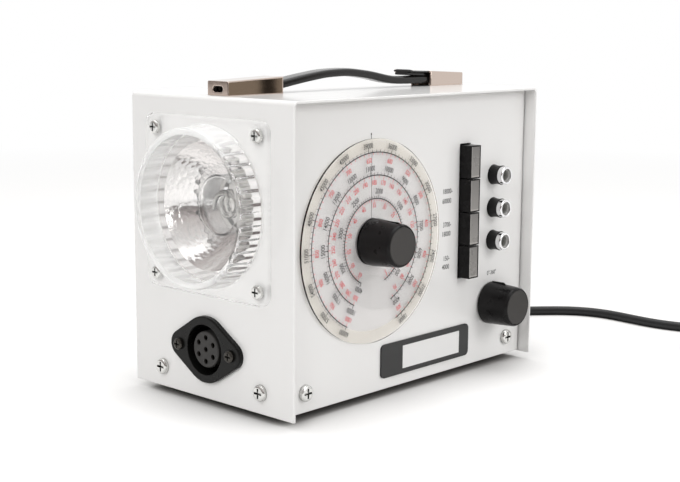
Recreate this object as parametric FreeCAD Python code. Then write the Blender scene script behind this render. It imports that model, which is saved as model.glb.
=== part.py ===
# Xenon stroboscope for classroom demonstrations, built as separate pieces.
# Frame: +X from the lamp face to the rear, -Y is the control side, +Z up, floor at Z = 0.
# All sizes are in millimetres.
import FreeCAD, Part
import math
import os

os.makedirs("parts", exist_ok=True)
V = FreeCAD.Vector
X_AXIS = V(1, 0, 0)
Y_AXIS = V(0, 1, 0)
Z_AXIS = V(0, 0, 1)

# Case
case_length = 212.7
case_width = 130.0
case_height = 168.0
sheet = 1.5
cover_bend = 3.0
edge_round = 0.5
panel_recess = 7.8
panel_end_gap = 0.8
panel_front_gap = 0.3
panel_top_gap = 0.3
panel_lift = 0.9
panel_flange = 12.0
tray_lift = 0.8
tray_height = 22.0

# Feet and case screws
foot_height = 5.0
foot_radius = 8.0
foot_tip_radius = 7.0
foot_inset_x = 22.0
foot_inset_y = 26.0
foot_well_radius = 4.2
foot_well_depth = 3.0
screw_head_radius = 4.6
screw_head_height = 2.6
screw_radius = 2.0
screw_length = 7.0
hole_clearance = 0.2
case_screw_height = 11.7
case_screw_inset = 24.6
panel_screw_front = 16.4
panel_screw_rear_inset = 16.2
screw_head_round = 0.6
screw_slot_reach = 0.62
screw_slot_width = 0.13
screw_slot_depth = 0.55
foot_edge = 1.0
foot_screw_grip = 2.5
foot_screw_head_gap = 0.5
foot_screw_head_sink = 0.8

# Cooling slots of the far panel
vent_inset = 40.0
vent_low = 92.0
vent_length = 52.0
vent_height = 3.0
vent_step = 8.0
vent_count = 7

# Lamp window on the lamp face
lens_y = case_width / 2
lens_z = 108.2
lens_flange = 98.0
lens_flange_thickness = 2.5
lens_corner = 7.0
lens_rim_width = 2.4
lens_rim_height = 1.0
lens_base_radius = 44.5
lens_front_radius = 43.5
lens_proud = 16.5
lens_wall = 2.0
lens_screw_spacing = 82.2
lens_screw_head_radius = 3.8
lens_screw_head_height = 2.4
lens_screw_radius = 1.6
lens_front_round = 1.0
lens_screw_grip = 4.0

# Reflector, flash lamp and their carriers
reflector_lens_gap = 1.0
reflector_flange_radius = lens_base_radius - lens_wall - reflector_lens_gap
reflector_seat_width = 3.5
reflector_opening_gap = 2.5
lamp_opening_radius = reflector_flange_radius - reflector_seat_width
reflector_rim_radius = lamp_opening_radius - reflector_opening_gap
reflector_flange_thickness = 1.0
reflector_depth = 23.0
reflector_neck_radius = 17.8
reflector_collar = 4.0
reflector_wall = 0.8
reflector_curve_share = 0.45
reflector_curve_bulge = 3.2
glass_radius = 17.0
glass_wall = 1.2
glass_start = 3.0
glass_end = 30.0
glass_dome_rise = 5.0
flash_tube_diameter = 3.4
flash_coil_radius = 6.5
flash_coil_turns = 3
flash_coil_pitch = 4.4
lamp_base_radius = 17.4
lamp_base_length = 14.0
lamp_stem_reach = 9.0
lamp_stem_gap = 0.4
lamp_pin_radius = 1.2
lamp_pin_circle = 9.0
lamp_pin_length = 8.0
lamp_pin_count = 8
lamp_pin_clearance = 0.1
lamp_pin_end_gap = 0.5
flash_coil_base_gap = 5.0
holder_radius = 20.0
holder_length = 12.0
bracket_thickness = 1.5
bracket_width = 46.0
bracket_rise_over_lamp = 24.0
bracket_foot = 16.0
bracket_corner = 6.0

# Remote lamp socket under the window
socket_offset = 1.7
socket_y = case_width / 2 + socket_offset
socket_z = 28.4
socket_screw_spacing = 42.1
socket_flange_radius = 18.8
socket_ear_radius = 7.5
socket_flange_thickness = 3.0
socket_barrel_radius = 15.6
socket_barrel_depth = 14.0
socket_recess_radius = 14.2
socket_floor = 3.0
socket_insert_radius = 10.3
socket_insert_setback = 1.2
socket_contact_count = 6
socket_contact_circle = 6.7
socket_contact_radius = 1.5
socket_contact_depth = 8.0
socket_sleeve_wall = 0.35
socket_screw_head_radius = 3.4
socket_screw_head_height = 2.0
socket_screw_radius = 1.5
socket_screw_grip = 4.0
socket_edge = 0.8
socket_insert_edge = 0.5
socket_hole_clearance = 0.3
socket_sleeve_setback = 0.8
socket_sleeve_floor = 1.0
wall_cut_clearance = 0.5

# Frequency dial
dial_x = 67.5
dial_z = 87.9
dial_radius = 57.1
dial_thickness = 1.5
dial_front_gap = 3.15
dial_hole_radius = 8.8
dial_edge = 0.4
main_knob_base_radius = 12.9
main_knob_front_radius = 11.5
main_knob_height = 23.9
phase_rear_inset = 33.5
phase_x = case_length - phase_rear_inset
phase_z = 36.5
phase_knob_base_radius = 13.1
phase_knob_front_radius = 11.8
phase_knob_height = 21.6
phase_knob_gap = 0.8
knob_edge = 0.8
knob_well_radius = 8.6
knob_well_depth = 6.5
knob_bore_depth = 11.0
knob_pointer_width = 1.6
knob_pointer_proud = 0.7
knob_pointer_share = 0.55
knob_pointer_root = 3.0
knob_bore_clearance = 0.02

# Rotary controls behind the panel
pot_body_radius = 12.0
pot_body_depth = 13.0
pot_bush_radius = 4.9
pot_bush_proud = 5.0
pot_tag_width = 2.2
pot_tag_length = 6.0
pot_tag_thickness = 0.8
pot_tag_count = 3
pot_tag_share = 0.6
pot_nut_across = 14.0
pot_nut_thickness = 2.0
nut_clearance = 0.05
shaft_radius = 3.0
shaft_clearance = 0.06
shaft_in_pot = 8.0
shaft_end_gap = 0.4

# Range keys
key_rear_inset = 65.7
key_x = case_length - key_rear_inset
key_width = 9.2
key_pitch = 20.0
key_count = 4
key_bottom = 56.3
key_gap = 0.5
key_proud = 10.5
key_travel = 4.0
key_cap_depth = 11.3
key_frame = 0.65
key_window_depth = 1.0
key_window_setback = 0.15
key_window_clearance = 0.05
key_hole_margin = 0.5
key_edge = 0.3
key_stem_width = 4.0
key_stem_height = 8.0
key_stem_length = 24.0
stem_clearance = 0.12
bank_margin_x = 4.0
bank_margin_z = 6.0
bank_depth = 40.0
bank_end_gap = 1.0

# Output jacks
jack_rear_inset = 32.2
jack_x = case_length - jack_rear_inset
jack_top_z = 116.0
jack_pitch = 20.2
jack_count = 3
jack_collar_radius = 6.2
jack_waist_radius = 5.6
jack_lip_radius = 5.9
jack_collar_length = 6.4
jack_ring_radius = 5.5
jack_ring_length = 3.6
jack_ring_round = 0.7
jack_bush_radius = 4.8
jack_mouth_radius = 4.15
jack_bush_depth = 9.0
jack_insert_setback = 1.3
jack_bore_radius = 3.2
jack_bore_depth = 20.0
jack_insert_depth = 16.0
jack_fit = 0.05

# Plate under the dial
plate_rear_inset = 135.6
plate_left = case_length - plate_rear_inset
plate_width = 80.2
plate_bottom = 7.4
plate_height = 19.6
plate_corner = 3.0
plate_thickness = 1.0
plate_field_left = 18.5
plate_field_width = 52.2
plate_field_bottom = 3.0
plate_field_height = 13.4
plate_field_thickness = 0.25

# Carrying handle
handle_offset = -2.4
handle_y = case_width / 2 + handle_offset
handle_start = 5.1
handle_end = case_length - handle_start
cap_width = 16.3
cap_height = 9.4
cap_end_height = 7.8
cap_sheet = 1.2
cap_edge = 0.8
front_cap_length = 41.6
rear_cap_length = 32.3
rear_cap_lip = 30.0
strap_width = 12.6
strap_half_thickness = 2.4
strap_rest_height = 4.1
strap_end_inset = 6.0
strap_flat_run = 55.6
# Crown of the strap: share of the way from the front cap to the flat run, and height
strap_crown = [(0.003, 4.6), (0.183, 7.5), (0.364, 9.9), (0.544, 10.4), (0.725, 8.3), (0.896, 4.9)]
handle_screw_inset = 14.0
handle_screw_radius = 2.4
handle_screw_head_radius = 4.4
handle_screw_head_height = 2.8
cap_slot_width = 8.0
cap_slot_height = 3.4
cap_slot_share = 0.45

# Electronics inside
board_x = 72.0
board_y = 36.0
board_core_gap = 12.0
board_far_gap = 20.0
board_thickness = 1.6
board_height = 12.0
standoff_radius = 3.0
standoff_inset = 5.0
capacitor_radius = 14.0
capacitor_end_gap = 8.0
capacitor_side_gap = 4.0
trigger_radius = 8.0
trigger_length = 22.0
trigger_inset_x = 14.0
trigger_far_inset = 18.0
core_rear_inset = 66.7
core_offset = -3.0
core_y = case_width / 2 + core_offset
core_length = 40.0
core_depth = 30.0
core_height = 48.0
core_window_height = 26.0
core_window_length = 8.0
core_limb_gap = 0.4
winding_bulge = 9.0
winding_corner = 4.0

# Rear wall fittings
fuse_y = 52.0
fuse_z = 30.0
fuse_cap_radius = 7.5
fuse_cap_proud = 9.0
fuse_flange_radius = 9.0
fuse_flange_thickness = 2.0
fuse_body_radius = 6.3
fuse_body_depth = 24.0
fuse_slot_width = 1.6
fuse_slot_depth = 1.8
fuse_slot_share = 0.7
fuse_edge = 0.8
fuse_hole_clearance = 0.3
rocker_y = 27.0
rocker_z = 31.0
rocker_width = 11.0
rocker_height = 17.0
rocker_frame = 2.2
rocker_bezel_proud = 2.0
rocker_body_depth = 16.0
rocker_pivot_depth = 3.0
rocker_proud = 3.6
rocker_tilt = 9.0
rocker_clearance = 0.35
rocker_pin_radius = 1.4
rocker_pin_length = 1.2
rocker_pin_clearance = 0.08
rocker_bezel_corner = 1.0
rocker_body_step = 1.2
rocker_body_floor = 2.5
rocker_hole_step = 1.0
rocker_back_share = 0.45
rocker_dish = 1.6

# Mains lead
cord_diameter = 6.2
cord_exit_far_inset = 42.0
cord_exit_y = case_width - cord_exit_far_inset
cord_exit_z = 26.0
gland_length = 32.0
gland_base_radius = 6.6
gland_tip_radius = 4.3
gland_flange_radius = 8.5
gland_flange_thickness = 2.5
gland_inside = 9.0
gland_rib_count = 5
gland_rib_width = 1.6
gland_rib_depth = 0.9
gland_rib_start = 3.0
gland_hole_clearance = 0.2
floor_lift = 0.05
coil_centre_x = 332.0
coil_centre_y = -104.0
coil_mid_radius = 37.0
coil_turns_in = 3.0
coil_turns_climb = 0.5
coil_turns_out = 2.75
coil_step = 6.9
coil_dip = 2.2
coil_layer_rise = 6.7
tail_first_run = 15.0
tail_second_run = 14.0
tail_aside = 5.0
plug_length = 30.0
plug_width = 36.0
plug_tail_length = 16.0
plug_tail_radius = 5.4
plug_tip_width = 26.0
plug_edge = 3.0
plug_neck_overlap = 4.0
plug_shoulder = 10.0
plug_neck_share = 0.45
pin_round = 1.2
pin_radius = 2.4
pin_length = 19.0
pin_spacing = 19.0

# Route of the lead from the gland to the coil, from the case corner in X and Y
# and from the floor in Z; the first point and the floor height come from the values above
cord_on_floor = cord_diameter / 2 + floor_lift
cord_route = [
    (263.5, 88.2, 24.0),
    (281.0, 89.5, 15.0),
    (297.0, 87.0, 6.5),
    (311.0, 79.5, cord_on_floor),
    (325.5, 67.5, cord_on_floor),
    (338.5, 54.5, cord_on_floor),
    (346.5, 40.0, cord_on_floor),
    (349.0, 23.0, cord_on_floor),
    (347.0, 5.0, cord_on_floor),
    (346.0, -14.0, cord_on_floor),
    (349.5, -33.0, cord_on_floor),
    (357.5, -50.0, cord_on_floor),
    (368.0, -64.5, cord_on_floor),
    (376.0, -80.5, cord_on_floor),
]

# Places worked out from the driving sizes
rear_proud = fuse_cap_proud
overall_length = lens_proud + case_length + rear_proud
knob_beyond_edge = main_knob_height - panel_recess
overall_width = knob_beyond_edge + case_width
face_x = lens_proud - overall_length / 2
near_y = knob_beyond_edge - overall_width / 2
case_z = foot_height - tray_lift
rear_x = face_x + case_length
far_y = near_y + case_width
top_z = case_z + case_height
panel_y = near_y + panel_recess
panel_back = panel_y + sheet
far_panel_y = far_y - panel_recess
far_panel_back = far_panel_y - sheet
tray_z = case_z + tray_lift
tray_floor = tray_z + sheet
core_x = case_length - core_rear_inset
board_length = core_x - board_core_gap - board_x
board_width = case_width - board_y - board_far_gap
capacitor_length = board_length - 2 * capacitor_end_gap


def box(x0, y0, z0, x1, y1, z1):
    return Part.makeBox(x1 - x0, y1 - y0, z1 - z0, V(x0, y0, z0))


def rod(start, direction, radius, length):
    return Part.makeCylinder(radius, length, start, direction)


def cone(start, direction, radius_a, radius_b, length):
    return Part.makeCone(radius_a, radius_b, length, start, direction)


def case_point(x, y, z):
    """A point given from the case corner in X and Y and from the case bottom in Z."""
    return V(face_x + x, near_y + y, case_z + z)


def edges_along(shape, axis, test):
    """Straight edges that run along the axis and whose middle passes the test."""
    found = []
    for edge in shape.Edges:
        ends = edge.Vertexes
        if len(ends) < 2:
            continue
        run = ends[1].Point.sub(ends[0].Point)
        if run.Length > 0 and run.cross(axis).Length < 1e-6 * run.Length:
            if test(edge.CenterOfMass):
                found.append(edge)
    return found


def fillet_along(shape, axis, radius, test):
    return shape.makeFillet(radius, edges_along(shape, axis, test))


def export(node, shape):
    """Write one node; a list of solids becomes one node of separate solids."""
    if isinstance(shape, list):
        shape = Part.makeCompound(shape)
    shape.exportStep("parts/" + node + ".step")


def turned_to(shape, direction, place):
    """Turn a shape built along +Z to a direction and move its origin to a place."""
    placed = shape.copy()
    placed.Placement = FreeCAD.Placement(place, FreeCAD.Rotation(Z_AXIS, direction))
    return placed


def pan_screw(direction, place, head_radius, head_height, radius, length):
    """A pan-head screw whose head stands along the direction, with a cross recess."""
    head = Part.makeCylinder(head_radius, head_height)
    top_edges = [e for e in head.Edges if abs(e.CenterOfMass.z - head_height) < 1e-6]
    head = head.makeFillet(screw_head_round * head_height, top_edges)
    slot_half = screw_slot_reach * head_radius
    slot_width = screw_slot_width * head_radius
    depth = screw_slot_depth * head_height
    arm = box(-slot_half, -slot_width, head_height - depth, slot_half, slot_width, head_height + 1)
    cross_arm = box(-slot_width, -slot_half, head_height - depth, slot_width, slot_half, head_height + 1)
    shank = Part.makeCylinder(radius, length, V(0, 0, -length))
    screw = head.cut(arm).cut(cross_arm).fuse(shank).removeSplitter()
    return turned_to(screw, direction, place)


def revolved(profile, centre, axis):
    """Turn a closed profile about an axis; the profile is a list of edges in order."""
    face = Part.Face(Part.Wire(profile))
    return face.revolve(centre, axis, 360)


def line(a, b):
    return Part.LineSegment(a, b).toShape()


def arc(a, middle, b):
    return Part.Arc(a, middle, b).toShape()


def polyline(points):
    closed = points + [points[0]]
    return [line(closed[i], closed[i + 1]) for i in range(len(points))]


# Case panels
def lens_screw_places():
    half = lens_screw_spacing / 2
    return [case_point(0, lens_y + sy * half, lens_z + sz * half) for sy in (-1, 1) for sz in (-1, 1)]


def face_screw_places():
    return [case_point(0, y, case_screw_height) for y in (case_screw_inset, case_width - case_screw_inset)]


def side_screw_places():
    xs = (panel_screw_front, case_length - panel_screw_rear_inset)
    return [case_point(x, panel_recess, case_screw_height) for x in xs]


def handle_screw_places():
    xs = (handle_start + handle_screw_inset, handle_end - handle_screw_inset)
    return [case_point(x, handle_y, case_height) for x in xs]


def socket_screw_places():
    half = socket_screw_spacing / 2
    return [case_point(0, socket_y + side * half, socket_z) for side in (-1, 1)]


def foot_places():
    xs = (face_x + foot_inset_x, rear_x - foot_inset_x)
    ys = (near_y + foot_inset_y, far_y - foot_inset_y)
    return [V(x, y, 0) for x in xs for y in ys]


def make_cover():
    """One sheet bent over the lamp face, the top and the rear."""
    outer = box(face_x, near_y, case_z, rear_x, far_y, top_z)
    outer = fillet_along(outer, Y_AXIS, cover_bend, lambda c: c.z > top_z - 1)
    inner = box(face_x + sheet, near_y - 1, case_z - 1, rear_x - sheet, far_y + 1, top_z - sheet)
    inner = fillet_along(inner, Y_AXIS, cover_bend - sheet, lambda c: c.z > top_z - sheet - 1)
    side_edges = []
    for edge in outer.Edges:
        c = edge.CenterOfMass
        on_side = abs(c.y - near_y) < 1e-6 or abs(c.y - far_y) < 1e-6
        if on_side and c.z > case_z + 1:
            side_edges.append(edge)
    cover = outer.makeFillet(edge_round, side_edges).cut(inner)
    reach = 2 * sheet
    cuts = [rod(case_point(-sheet / 2, lens_y, lens_z), X_AXIS, lamp_opening_radius, reach)]
    socket_hole = socket_barrel_radius + socket_hole_clearance
    cuts.append(rod(case_point(-sheet / 2, socket_y, socket_z), X_AXIS, socket_hole, reach))
    for place in lens_screw_places():
        cuts.append(rod(place.sub(V(reach / 2, 0, 0)), X_AXIS, lens_screw_radius + hole_clearance, 2 * reach))
    for place in socket_screw_places():
        cuts.append(rod(place.sub(V(reach / 2, 0, 0)), X_AXIS, socket_screw_radius + hole_clearance, 2 * reach))
    for place in face_screw_places():
        cuts.append(rod(place.sub(V(reach / 2, 0, 0)), X_AXIS, screw_radius + hole_clearance, 2 * reach))
        rear_place = V(rear_x - reach, place.y, place.z)
        cuts.append(rod(rear_place, X_AXIS, screw_radius + hole_clearance, 2 * reach))
    for place in handle_screw_places():
        cuts.append(rod(place.sub(V(0, 0, reach)), Z_AXIS, handle_screw_radius + hole_clearance, 2 * reach))
    rear_start = case_length - reach
    fuse_hole = fuse_body_radius + fuse_hole_clearance
    cuts.append(rod(case_point(rear_start, fuse_y, fuse_z), X_AXIS, fuse_hole, 2 * reach))
    gland_hole = gland_base_radius + gland_hole_clearance
    cuts.append(rod(case_point(rear_start, cord_exit_y, cord_exit_z - case_z), X_AXIS, gland_hole, 2 * reach))
    half_w = rocker_width / 2 + rocker_frame - rocker_hole_step
    half_h = rocker_height / 2 + rocker_frame - rocker_hole_step
    hole = box(rear_x - reach, near_y + rocker_y - half_w, case_z + rocker_z - half_h,
               rear_x + reach, near_y + rocker_y + half_w, case_z + rocker_z + half_h)
    cuts.append(hole)
    for cutter in cuts:
        cover = cover.cut(cutter)
    return cover


def make_base_tray():
    """Folded tray whose four low walls take the cover and panel screws."""
    x0 = face_x + sheet
    x1 = rear_x - sheet
    tray = box(x0, panel_back, tray_z, x1, far_panel_back, tray_z + tray_height)
    tray = tray.cut(box(x0 + sheet, panel_back + sheet, tray_floor, x1 - sheet, far_panel_back - sheet, top_z))
    reach = 3 * sheet
    for place in face_screw_places():
        for x in (x0 - sheet, x1 - reach + sheet):
            tray = tray.cut(rod(V(x, place.y, place.z), X_AXIS, screw_radius + hole_clearance, reach))
    for place in side_screw_places():
        for y in (panel_back - sheet, far_panel_back - reach + sheet):
            tray = tray.cut(rod(V(place.x, y, place.z), Y_AXIS, screw_radius + hole_clearance, reach))
    for place in foot_places():
        tray = tray.cut(rod(V(place.x, place.y, tray_z - 1), Z_AXIS, screw_radius + hole_clearance, 2 + sheet))
    socket_cut = socket_barrel_radius + wall_cut_clearance
    tray = tray.cut(rod(V(x0 - 1, near_y + socket_y, case_z + socket_z), X_AXIS, socket_cut, sheet + 2))
    gland_cut = gland_flange_radius + wall_cut_clearance
    tray = tray.cut(rod(V(x1 - sheet - 1, near_y + cord_exit_y, cord_exit_z), X_AXIS, gland_cut, sheet + 2))
    fuse_cut = fuse_body_radius + wall_cut_clearance
    tray = tray.cut(rod(V(x1 - sheet - 1, near_y + fuse_y, case_z + fuse_z), X_AXIS, fuse_cut, sheet + 2))
    rocker_half = rocker_width / 2 + rocker_frame
    rocker_low = case_z + rocker_z - rocker_height / 2 - rocker_frame
    tray = tray.cut(box(x1 - sheet - 1, near_y + rocker_y - rocker_half, rocker_low,
                        x1 + 1, near_y + rocker_y + rocker_half, tray_z + tray_height + 1))
    return tray


def side_panel(outer_y, inward):
    """A flat plate with a top flange, set back under the cover."""
    x0 = face_x + sheet + panel_front_gap
    x1 = rear_x - sheet - panel_end_gap
    z0 = case_z + panel_lift
    z1 = top_z - sheet - panel_top_gap
    back = outer_y + inward * sheet
    flange_end = outer_y + inward * panel_flange
    plate = box(x0, min(outer_y, back), z0, x1, max(outer_y, back), z1)
    flange = box(x0, min(outer_y, flange_end), z1 - sheet, x1, max(outer_y, flange_end), z1)
    panel = plate.fuse(flange).removeSplitter()
    bend = lambda c: abs(c.y - outer_y) < 1e-6 and abs(c.z - z1) < 1e-6
    panel = fillet_along(panel, X_AXIS, edge_round, bend)
    hole_radius = screw_radius + hole_clearance
    for place in side_screw_places():
        panel = panel.cut(rod(V(place.x, outer_y - 2 * sheet, place.z), Y_AXIS, hole_radius, 4 * sheet))
    return panel


def key_column():
    """Lowest and highest edges of the key column, from the case bottom."""
    return key_bottom, key_bottom + key_count * key_pitch


def jack_places():
    return [case_point(jack_x, panel_recess, jack_top_z - i * jack_pitch) for i in range(jack_count)]


def make_control_panel():
    panel = side_panel(panel_y, 1)
    low, high = key_column()
    y0 = panel_y - 1
    y1 = panel_back + 1
    panel = panel.cut(box(face_x + key_x - key_hole_margin, y0, case_z + low - key_hole_margin,
                          face_x + key_x + key_width + key_hole_margin, y1, case_z + high + key_hole_margin))
    for x, z in ((dial_x, dial_z), (phase_x, phase_z)):
        panel = panel.cut(rod(V(face_x + x, y0, case_z + z), Y_AXIS, pot_bush_radius + hole_clearance, y1 - y0))
    for place in jack_places():
        panel = panel.cut(rod(V(place.x, y0, place.z), Y_AXIS, jack_bush_radius + jack_fit, y1 - y0))
    return panel


def make_far_panel():
    """The plain panel of the far side, with cooling slots."""
    panel = side_panel(far_panel_y, -1)
    for x in (face_x + vent_inset, rear_x - vent_inset - vent_length):
        for i in range(vent_count):
            z = case_z + vent_low + i * vent_step
            slot = box(x, far_panel_back - 1, z, x + vent_length, far_panel_y + 1, z + vent_height)
            slot = fillet_along(slot, Y_AXIS, 0.49 * vent_height, lambda c: True)
            panel = panel.cut(slot)
    return panel


export("cover", make_cover())
export("base_tray", make_base_tray())
export("control_panel", make_control_panel())
export("far_panel", make_far_panel())

# Case screws and feet
cover_screws = []
for place in face_screw_places():
    size = (screw_head_radius, screw_head_height, screw_radius, screw_length)
    cover_screws.append(pan_screw(V(-1, 0, 0), place, *size))
    cover_screws.append(pan_screw(X_AXIS, V(rear_x, place.y, place.z), *size))
export("cover_screws", cover_screws)

panel_screws = []
for place in side_screw_places():
    size = (screw_head_radius, screw_head_height, screw_radius, screw_length)
    panel_screws.append(pan_screw(V(0, -1, 0), place, *size))
    panel_screws.append(pan_screw(Y_AXIS, V(place.x, far_panel_y, place.z), *size))
export("panel_screws", panel_screws)

feet = []
foot_screws = []
for place in foot_places():
    foot = cone(place, Z_AXIS, foot_tip_radius, foot_radius, foot_height)
    tip_edges = [e for e in foot.Edges if e.CenterOfMass.z < 0.1 and len(e.Vertexes) == 1]
    foot = foot.makeFillet(foot_edge, tip_edges)
    foot = foot.cut(rod(place.sub(Z_AXIS), Z_AXIS, foot_well_radius, foot_well_depth + 1))
    foot = foot.cut(rod(place, Z_AXIS, screw_radius + hole_clearance, foot_height + 1))
    feet.append(foot)
    head_seat = V(place.x, place.y, foot_well_depth)
    shank = foot_height - foot_well_depth + sheet + foot_screw_grip
    head_radius = foot_well_radius - foot_screw_head_gap
    head_height = foot_well_depth - foot_screw_head_sink
    foot_screws.append(pan_screw(V(0, 0, -1), head_seat, head_radius, head_height, screw_radius, shank))
export("feet", feet)
export("foot_screws", foot_screws)


# Lamp window
def make_lens():
    """Clear moulding: a square flange with a raised rim and a drum closed at its front."""
    half = lens_flange / 2
    x1 = face_x
    x0 = face_x - lens_flange_thickness
    cy = near_y + lens_y
    cz = case_z + lens_z

    def slab(xa, xb, reach, corner):
        piece = box(xa, cy - reach, cz - reach, xb, cy + reach, cz + reach)
        return fillet_along(piece, X_AXIS, corner, lambda c: True)

    flange = slab(x0, x1, half, lens_corner)
    rim = slab(x0 - lens_rim_height, x0, half, lens_corner)
    rim = rim.cut(slab(x0 - lens_rim_height, x0, half - lens_rim_width, lens_corner - lens_rim_width))
    centre = V(x0, cy, cz)
    back = V(-1, 0, 0)
    length = lens_proud - lens_flange_thickness
    drum = cone(centre, back, lens_base_radius, lens_front_radius, length)
    front = face_x - lens_proud
    front_edges = [e for e in drum.Edges if abs(e.CenterOfMass.x - front) < 1e-6 and len(e.Vertexes) == 1]
    drum = drum.makeFillet(lens_front_round, front_edges)
    lens = flange.fuse(rim).fuse(drum)
    inside = cone(centre, back, lens_base_radius - lens_wall, lens_front_radius - lens_wall, length - lens_wall)
    lens = lens.cut(inside).cut(rod(V(x0, cy, cz), X_AXIS, lens_base_radius - lens_wall, lens_flange_thickness))
    hole_radius = lens_screw_radius + hole_clearance
    for place in lens_screw_places():
        lens = lens.cut(rod(V(x0 - 1, place.y, place.z), X_AXIS, hole_radius, lens_flange_thickness + 2))
    return lens


def lamp_axis(x):
    return case_point(x, lens_y, lens_z)


def make_reflector():
    """Spun bowl on a flange that sits on the lamp face, open at the neck for the lamp."""
    w = reflector_wall
    flange_front = -reflector_flange_thickness
    curve_x = reflector_curve_share * reflector_depth
    mid_radius = reflector_curve_bulge + reflector_rim_radius
    mid_radius -= (reflector_rim_radius - reflector_neck_radius) * 0.34

    def at(x, r):
        return lamp_axis(x).add(V(0, 0, r))

    deep = reflector_depth
    end = deep + reflector_collar
    profile = [
        line(at(flange_front, reflector_flange_radius), at(flange_front, reflector_rim_radius)),
        arc(at(flange_front, reflector_rim_radius), at(curve_x, mid_radius), at(deep, reflector_neck_radius)),
        line(at(deep, reflector_neck_radius), at(end, reflector_neck_radius)),
        line(at(end, reflector_neck_radius), at(end, reflector_neck_radius + w)),
        line(at(end, reflector_neck_radius + w), at(deep + w, reflector_neck_radius + w)),
        arc(at(deep + w, reflector_neck_radius + w), at(curve_x + 0.6 * w, mid_radius + 0.8 * w),
            at(0, reflector_rim_radius + w)),
        line(at(0, reflector_rim_radius + w), at(0, reflector_flange_radius)),
        line(at(0, reflector_flange_radius), at(flange_front, reflector_flange_radius)),
    ]
    return revolved(profile, lamp_axis(0), X_AXIS)


def make_lamp_glass():
    """Glass envelope: a tube with a low domed front, open at the base."""
    def at(x, r):
        return lamp_axis(x).add(V(0, 0, r))

    w = glass_wall
    inner_radius = glass_radius - w
    shoulder = glass_start + glass_dome_rise
    sphere = (glass_radius ** 2 + glass_dome_rise ** 2) / (2 * glass_dome_rise)
    centre = glass_start + sphere

    def cap(radius, edge_radius, share):
        angle = share * math.asin(edge_radius / radius)
        return at(centre - radius * math.cos(angle), radius * math.sin(angle))

    inner = sphere - w
    profile = [
        arc(cap(sphere, glass_radius, 0), cap(sphere, glass_radius, 0.5), at(shoulder, glass_radius)),
        line(at(shoulder, glass_radius), at(glass_end, glass_radius)),
        line(at(glass_end, glass_radius), at(glass_end, inner_radius)),
        line(at(glass_end, inner_radius), cap(inner, inner_radius, 1)),
        arc(cap(inner, inner_radius, 1), cap(inner, inner_radius, 0.5), cap(inner, inner_radius, 0)),
        line(cap(inner, inner_radius, 0), cap(sphere, glass_radius, 0)),
    ]
    return revolved(profile, lamp_axis(0), X_AXIS)


def bend_edges(a, corner, b):
    """A circular arc that leaves a towards the corner and arrives at b from it."""
    middle = (a + b) * 0.5
    to_corner = corner - middle
    half_chord = (a - middle).Length
    if to_corner.Length < 1e-6 * half_chord:
        return line(a, b)
    half_turn = math.atan2(to_corner.Length, half_chord)
    rise = half_chord * math.tan(half_turn / 2)
    return arc(a, middle + to_corner * (rise / to_corner.Length), b)


def biarc(p0, t0, p1, t1):
    """Two tangent arcs from p0 along t0 to p1 along t1, with equal handles."""
    v = p1 - p0
    t = t0 + t1
    a = 2 * (1 - t0.dot(t1))
    b = 2 * v.dot(t)
    c = -v.dot(v)
    if abs(a) < 1e-9:
        d = -c / b
    else:
        d = (-b + math.sqrt(b * b - 4 * a * c)) / (2 * a)
    c0 = p0 + t0 * d
    c1 = p1 - t1 * d
    joint = (c0 + c1) * 0.5
    return [bend_edges(p0, c0, joint), bend_edges(joint, c1, p1)]


def wound_edges(curve, turns, per_turn):
    """Biarcs along a curve given as a function of turns, a whole number per turn."""
    count = int(round(turns * per_turn))
    step = 1e-5

    def tangent(u):
        return (curve(u + step) - curve(u - step)).normalize()

    edges = []
    for i in range(count):
        u0 = i / per_turn
        u1 = (i + 1) / per_turn
        edges += biarc(curve(u0), tangent(u0), curve(u1), tangent(u1))
    return edges, tangent(0), tangent(count / per_turn)


def tube_along(edges, start, direction, diameter):
    """One solid tube along joined edges."""
    path = Part.Wire(edges)
    ring = Part.Wire([Part.Circle(start, direction, diameter / 2).toShape()])
    tube = path.makePipeShell([ring], True, False)
    return Part.Solid(tube) if tube.ShapeType == "Shell" else tube


def least_gap(curve, turns, diameter):
    """Least space between turns, measured on points at least half a turn apart."""
    per_turn = 60
    count = int(turns * per_turn)
    points = [curve(i / per_turn) for i in range(count + 1)]
    least = 1e9
    for i in range(0, count, 3):
        for j in range(i + per_turn // 2, count + 1):
            least = min(least, (points[i] - points[j]).Length)
    return least - diameter


def flash_curve(u):
    """Helix round the lamp axis; u counts turns from the front."""
    angle = 2 * math.pi * u
    x = glass_end - flash_coil_base_gap - flash_coil_pitch * (flash_coil_turns - u)
    offset = V(0, flash_coil_radius * math.cos(angle), flash_coil_radius * math.sin(angle))
    return lamp_axis(x) + offset


def make_flash_tube():
    """Wound flash tube inside the glass, its end straight into the base."""
    edges, t0, t1 = wound_edges(flash_curve, flash_coil_turns, 4)
    start = flash_curve(0)
    lead = start - t0 * flash_tube_diameter
    edges = [line(lead, start)] + edges
    end = flash_curve(flash_coil_turns)
    tail = end + t1 * flash_tube_diameter
    edges = edges + [line(end, tail)]
    print("flash tube gap", round(least_gap(flash_curve, flash_coil_turns, flash_tube_diameter), 2))
    return tube_along(edges, lead, t0, flash_tube_diameter)


def lamp_pin_offsets():
    offsets = []
    for i in range(lamp_pin_count):
        angle = 2 * math.pi * i / lamp_pin_count
        offsets.append(V(0, lamp_pin_circle * math.cos(angle), lamp_pin_circle * math.sin(angle)))
    return offsets


lamp_base_end = glass_end + lamp_base_length


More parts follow.
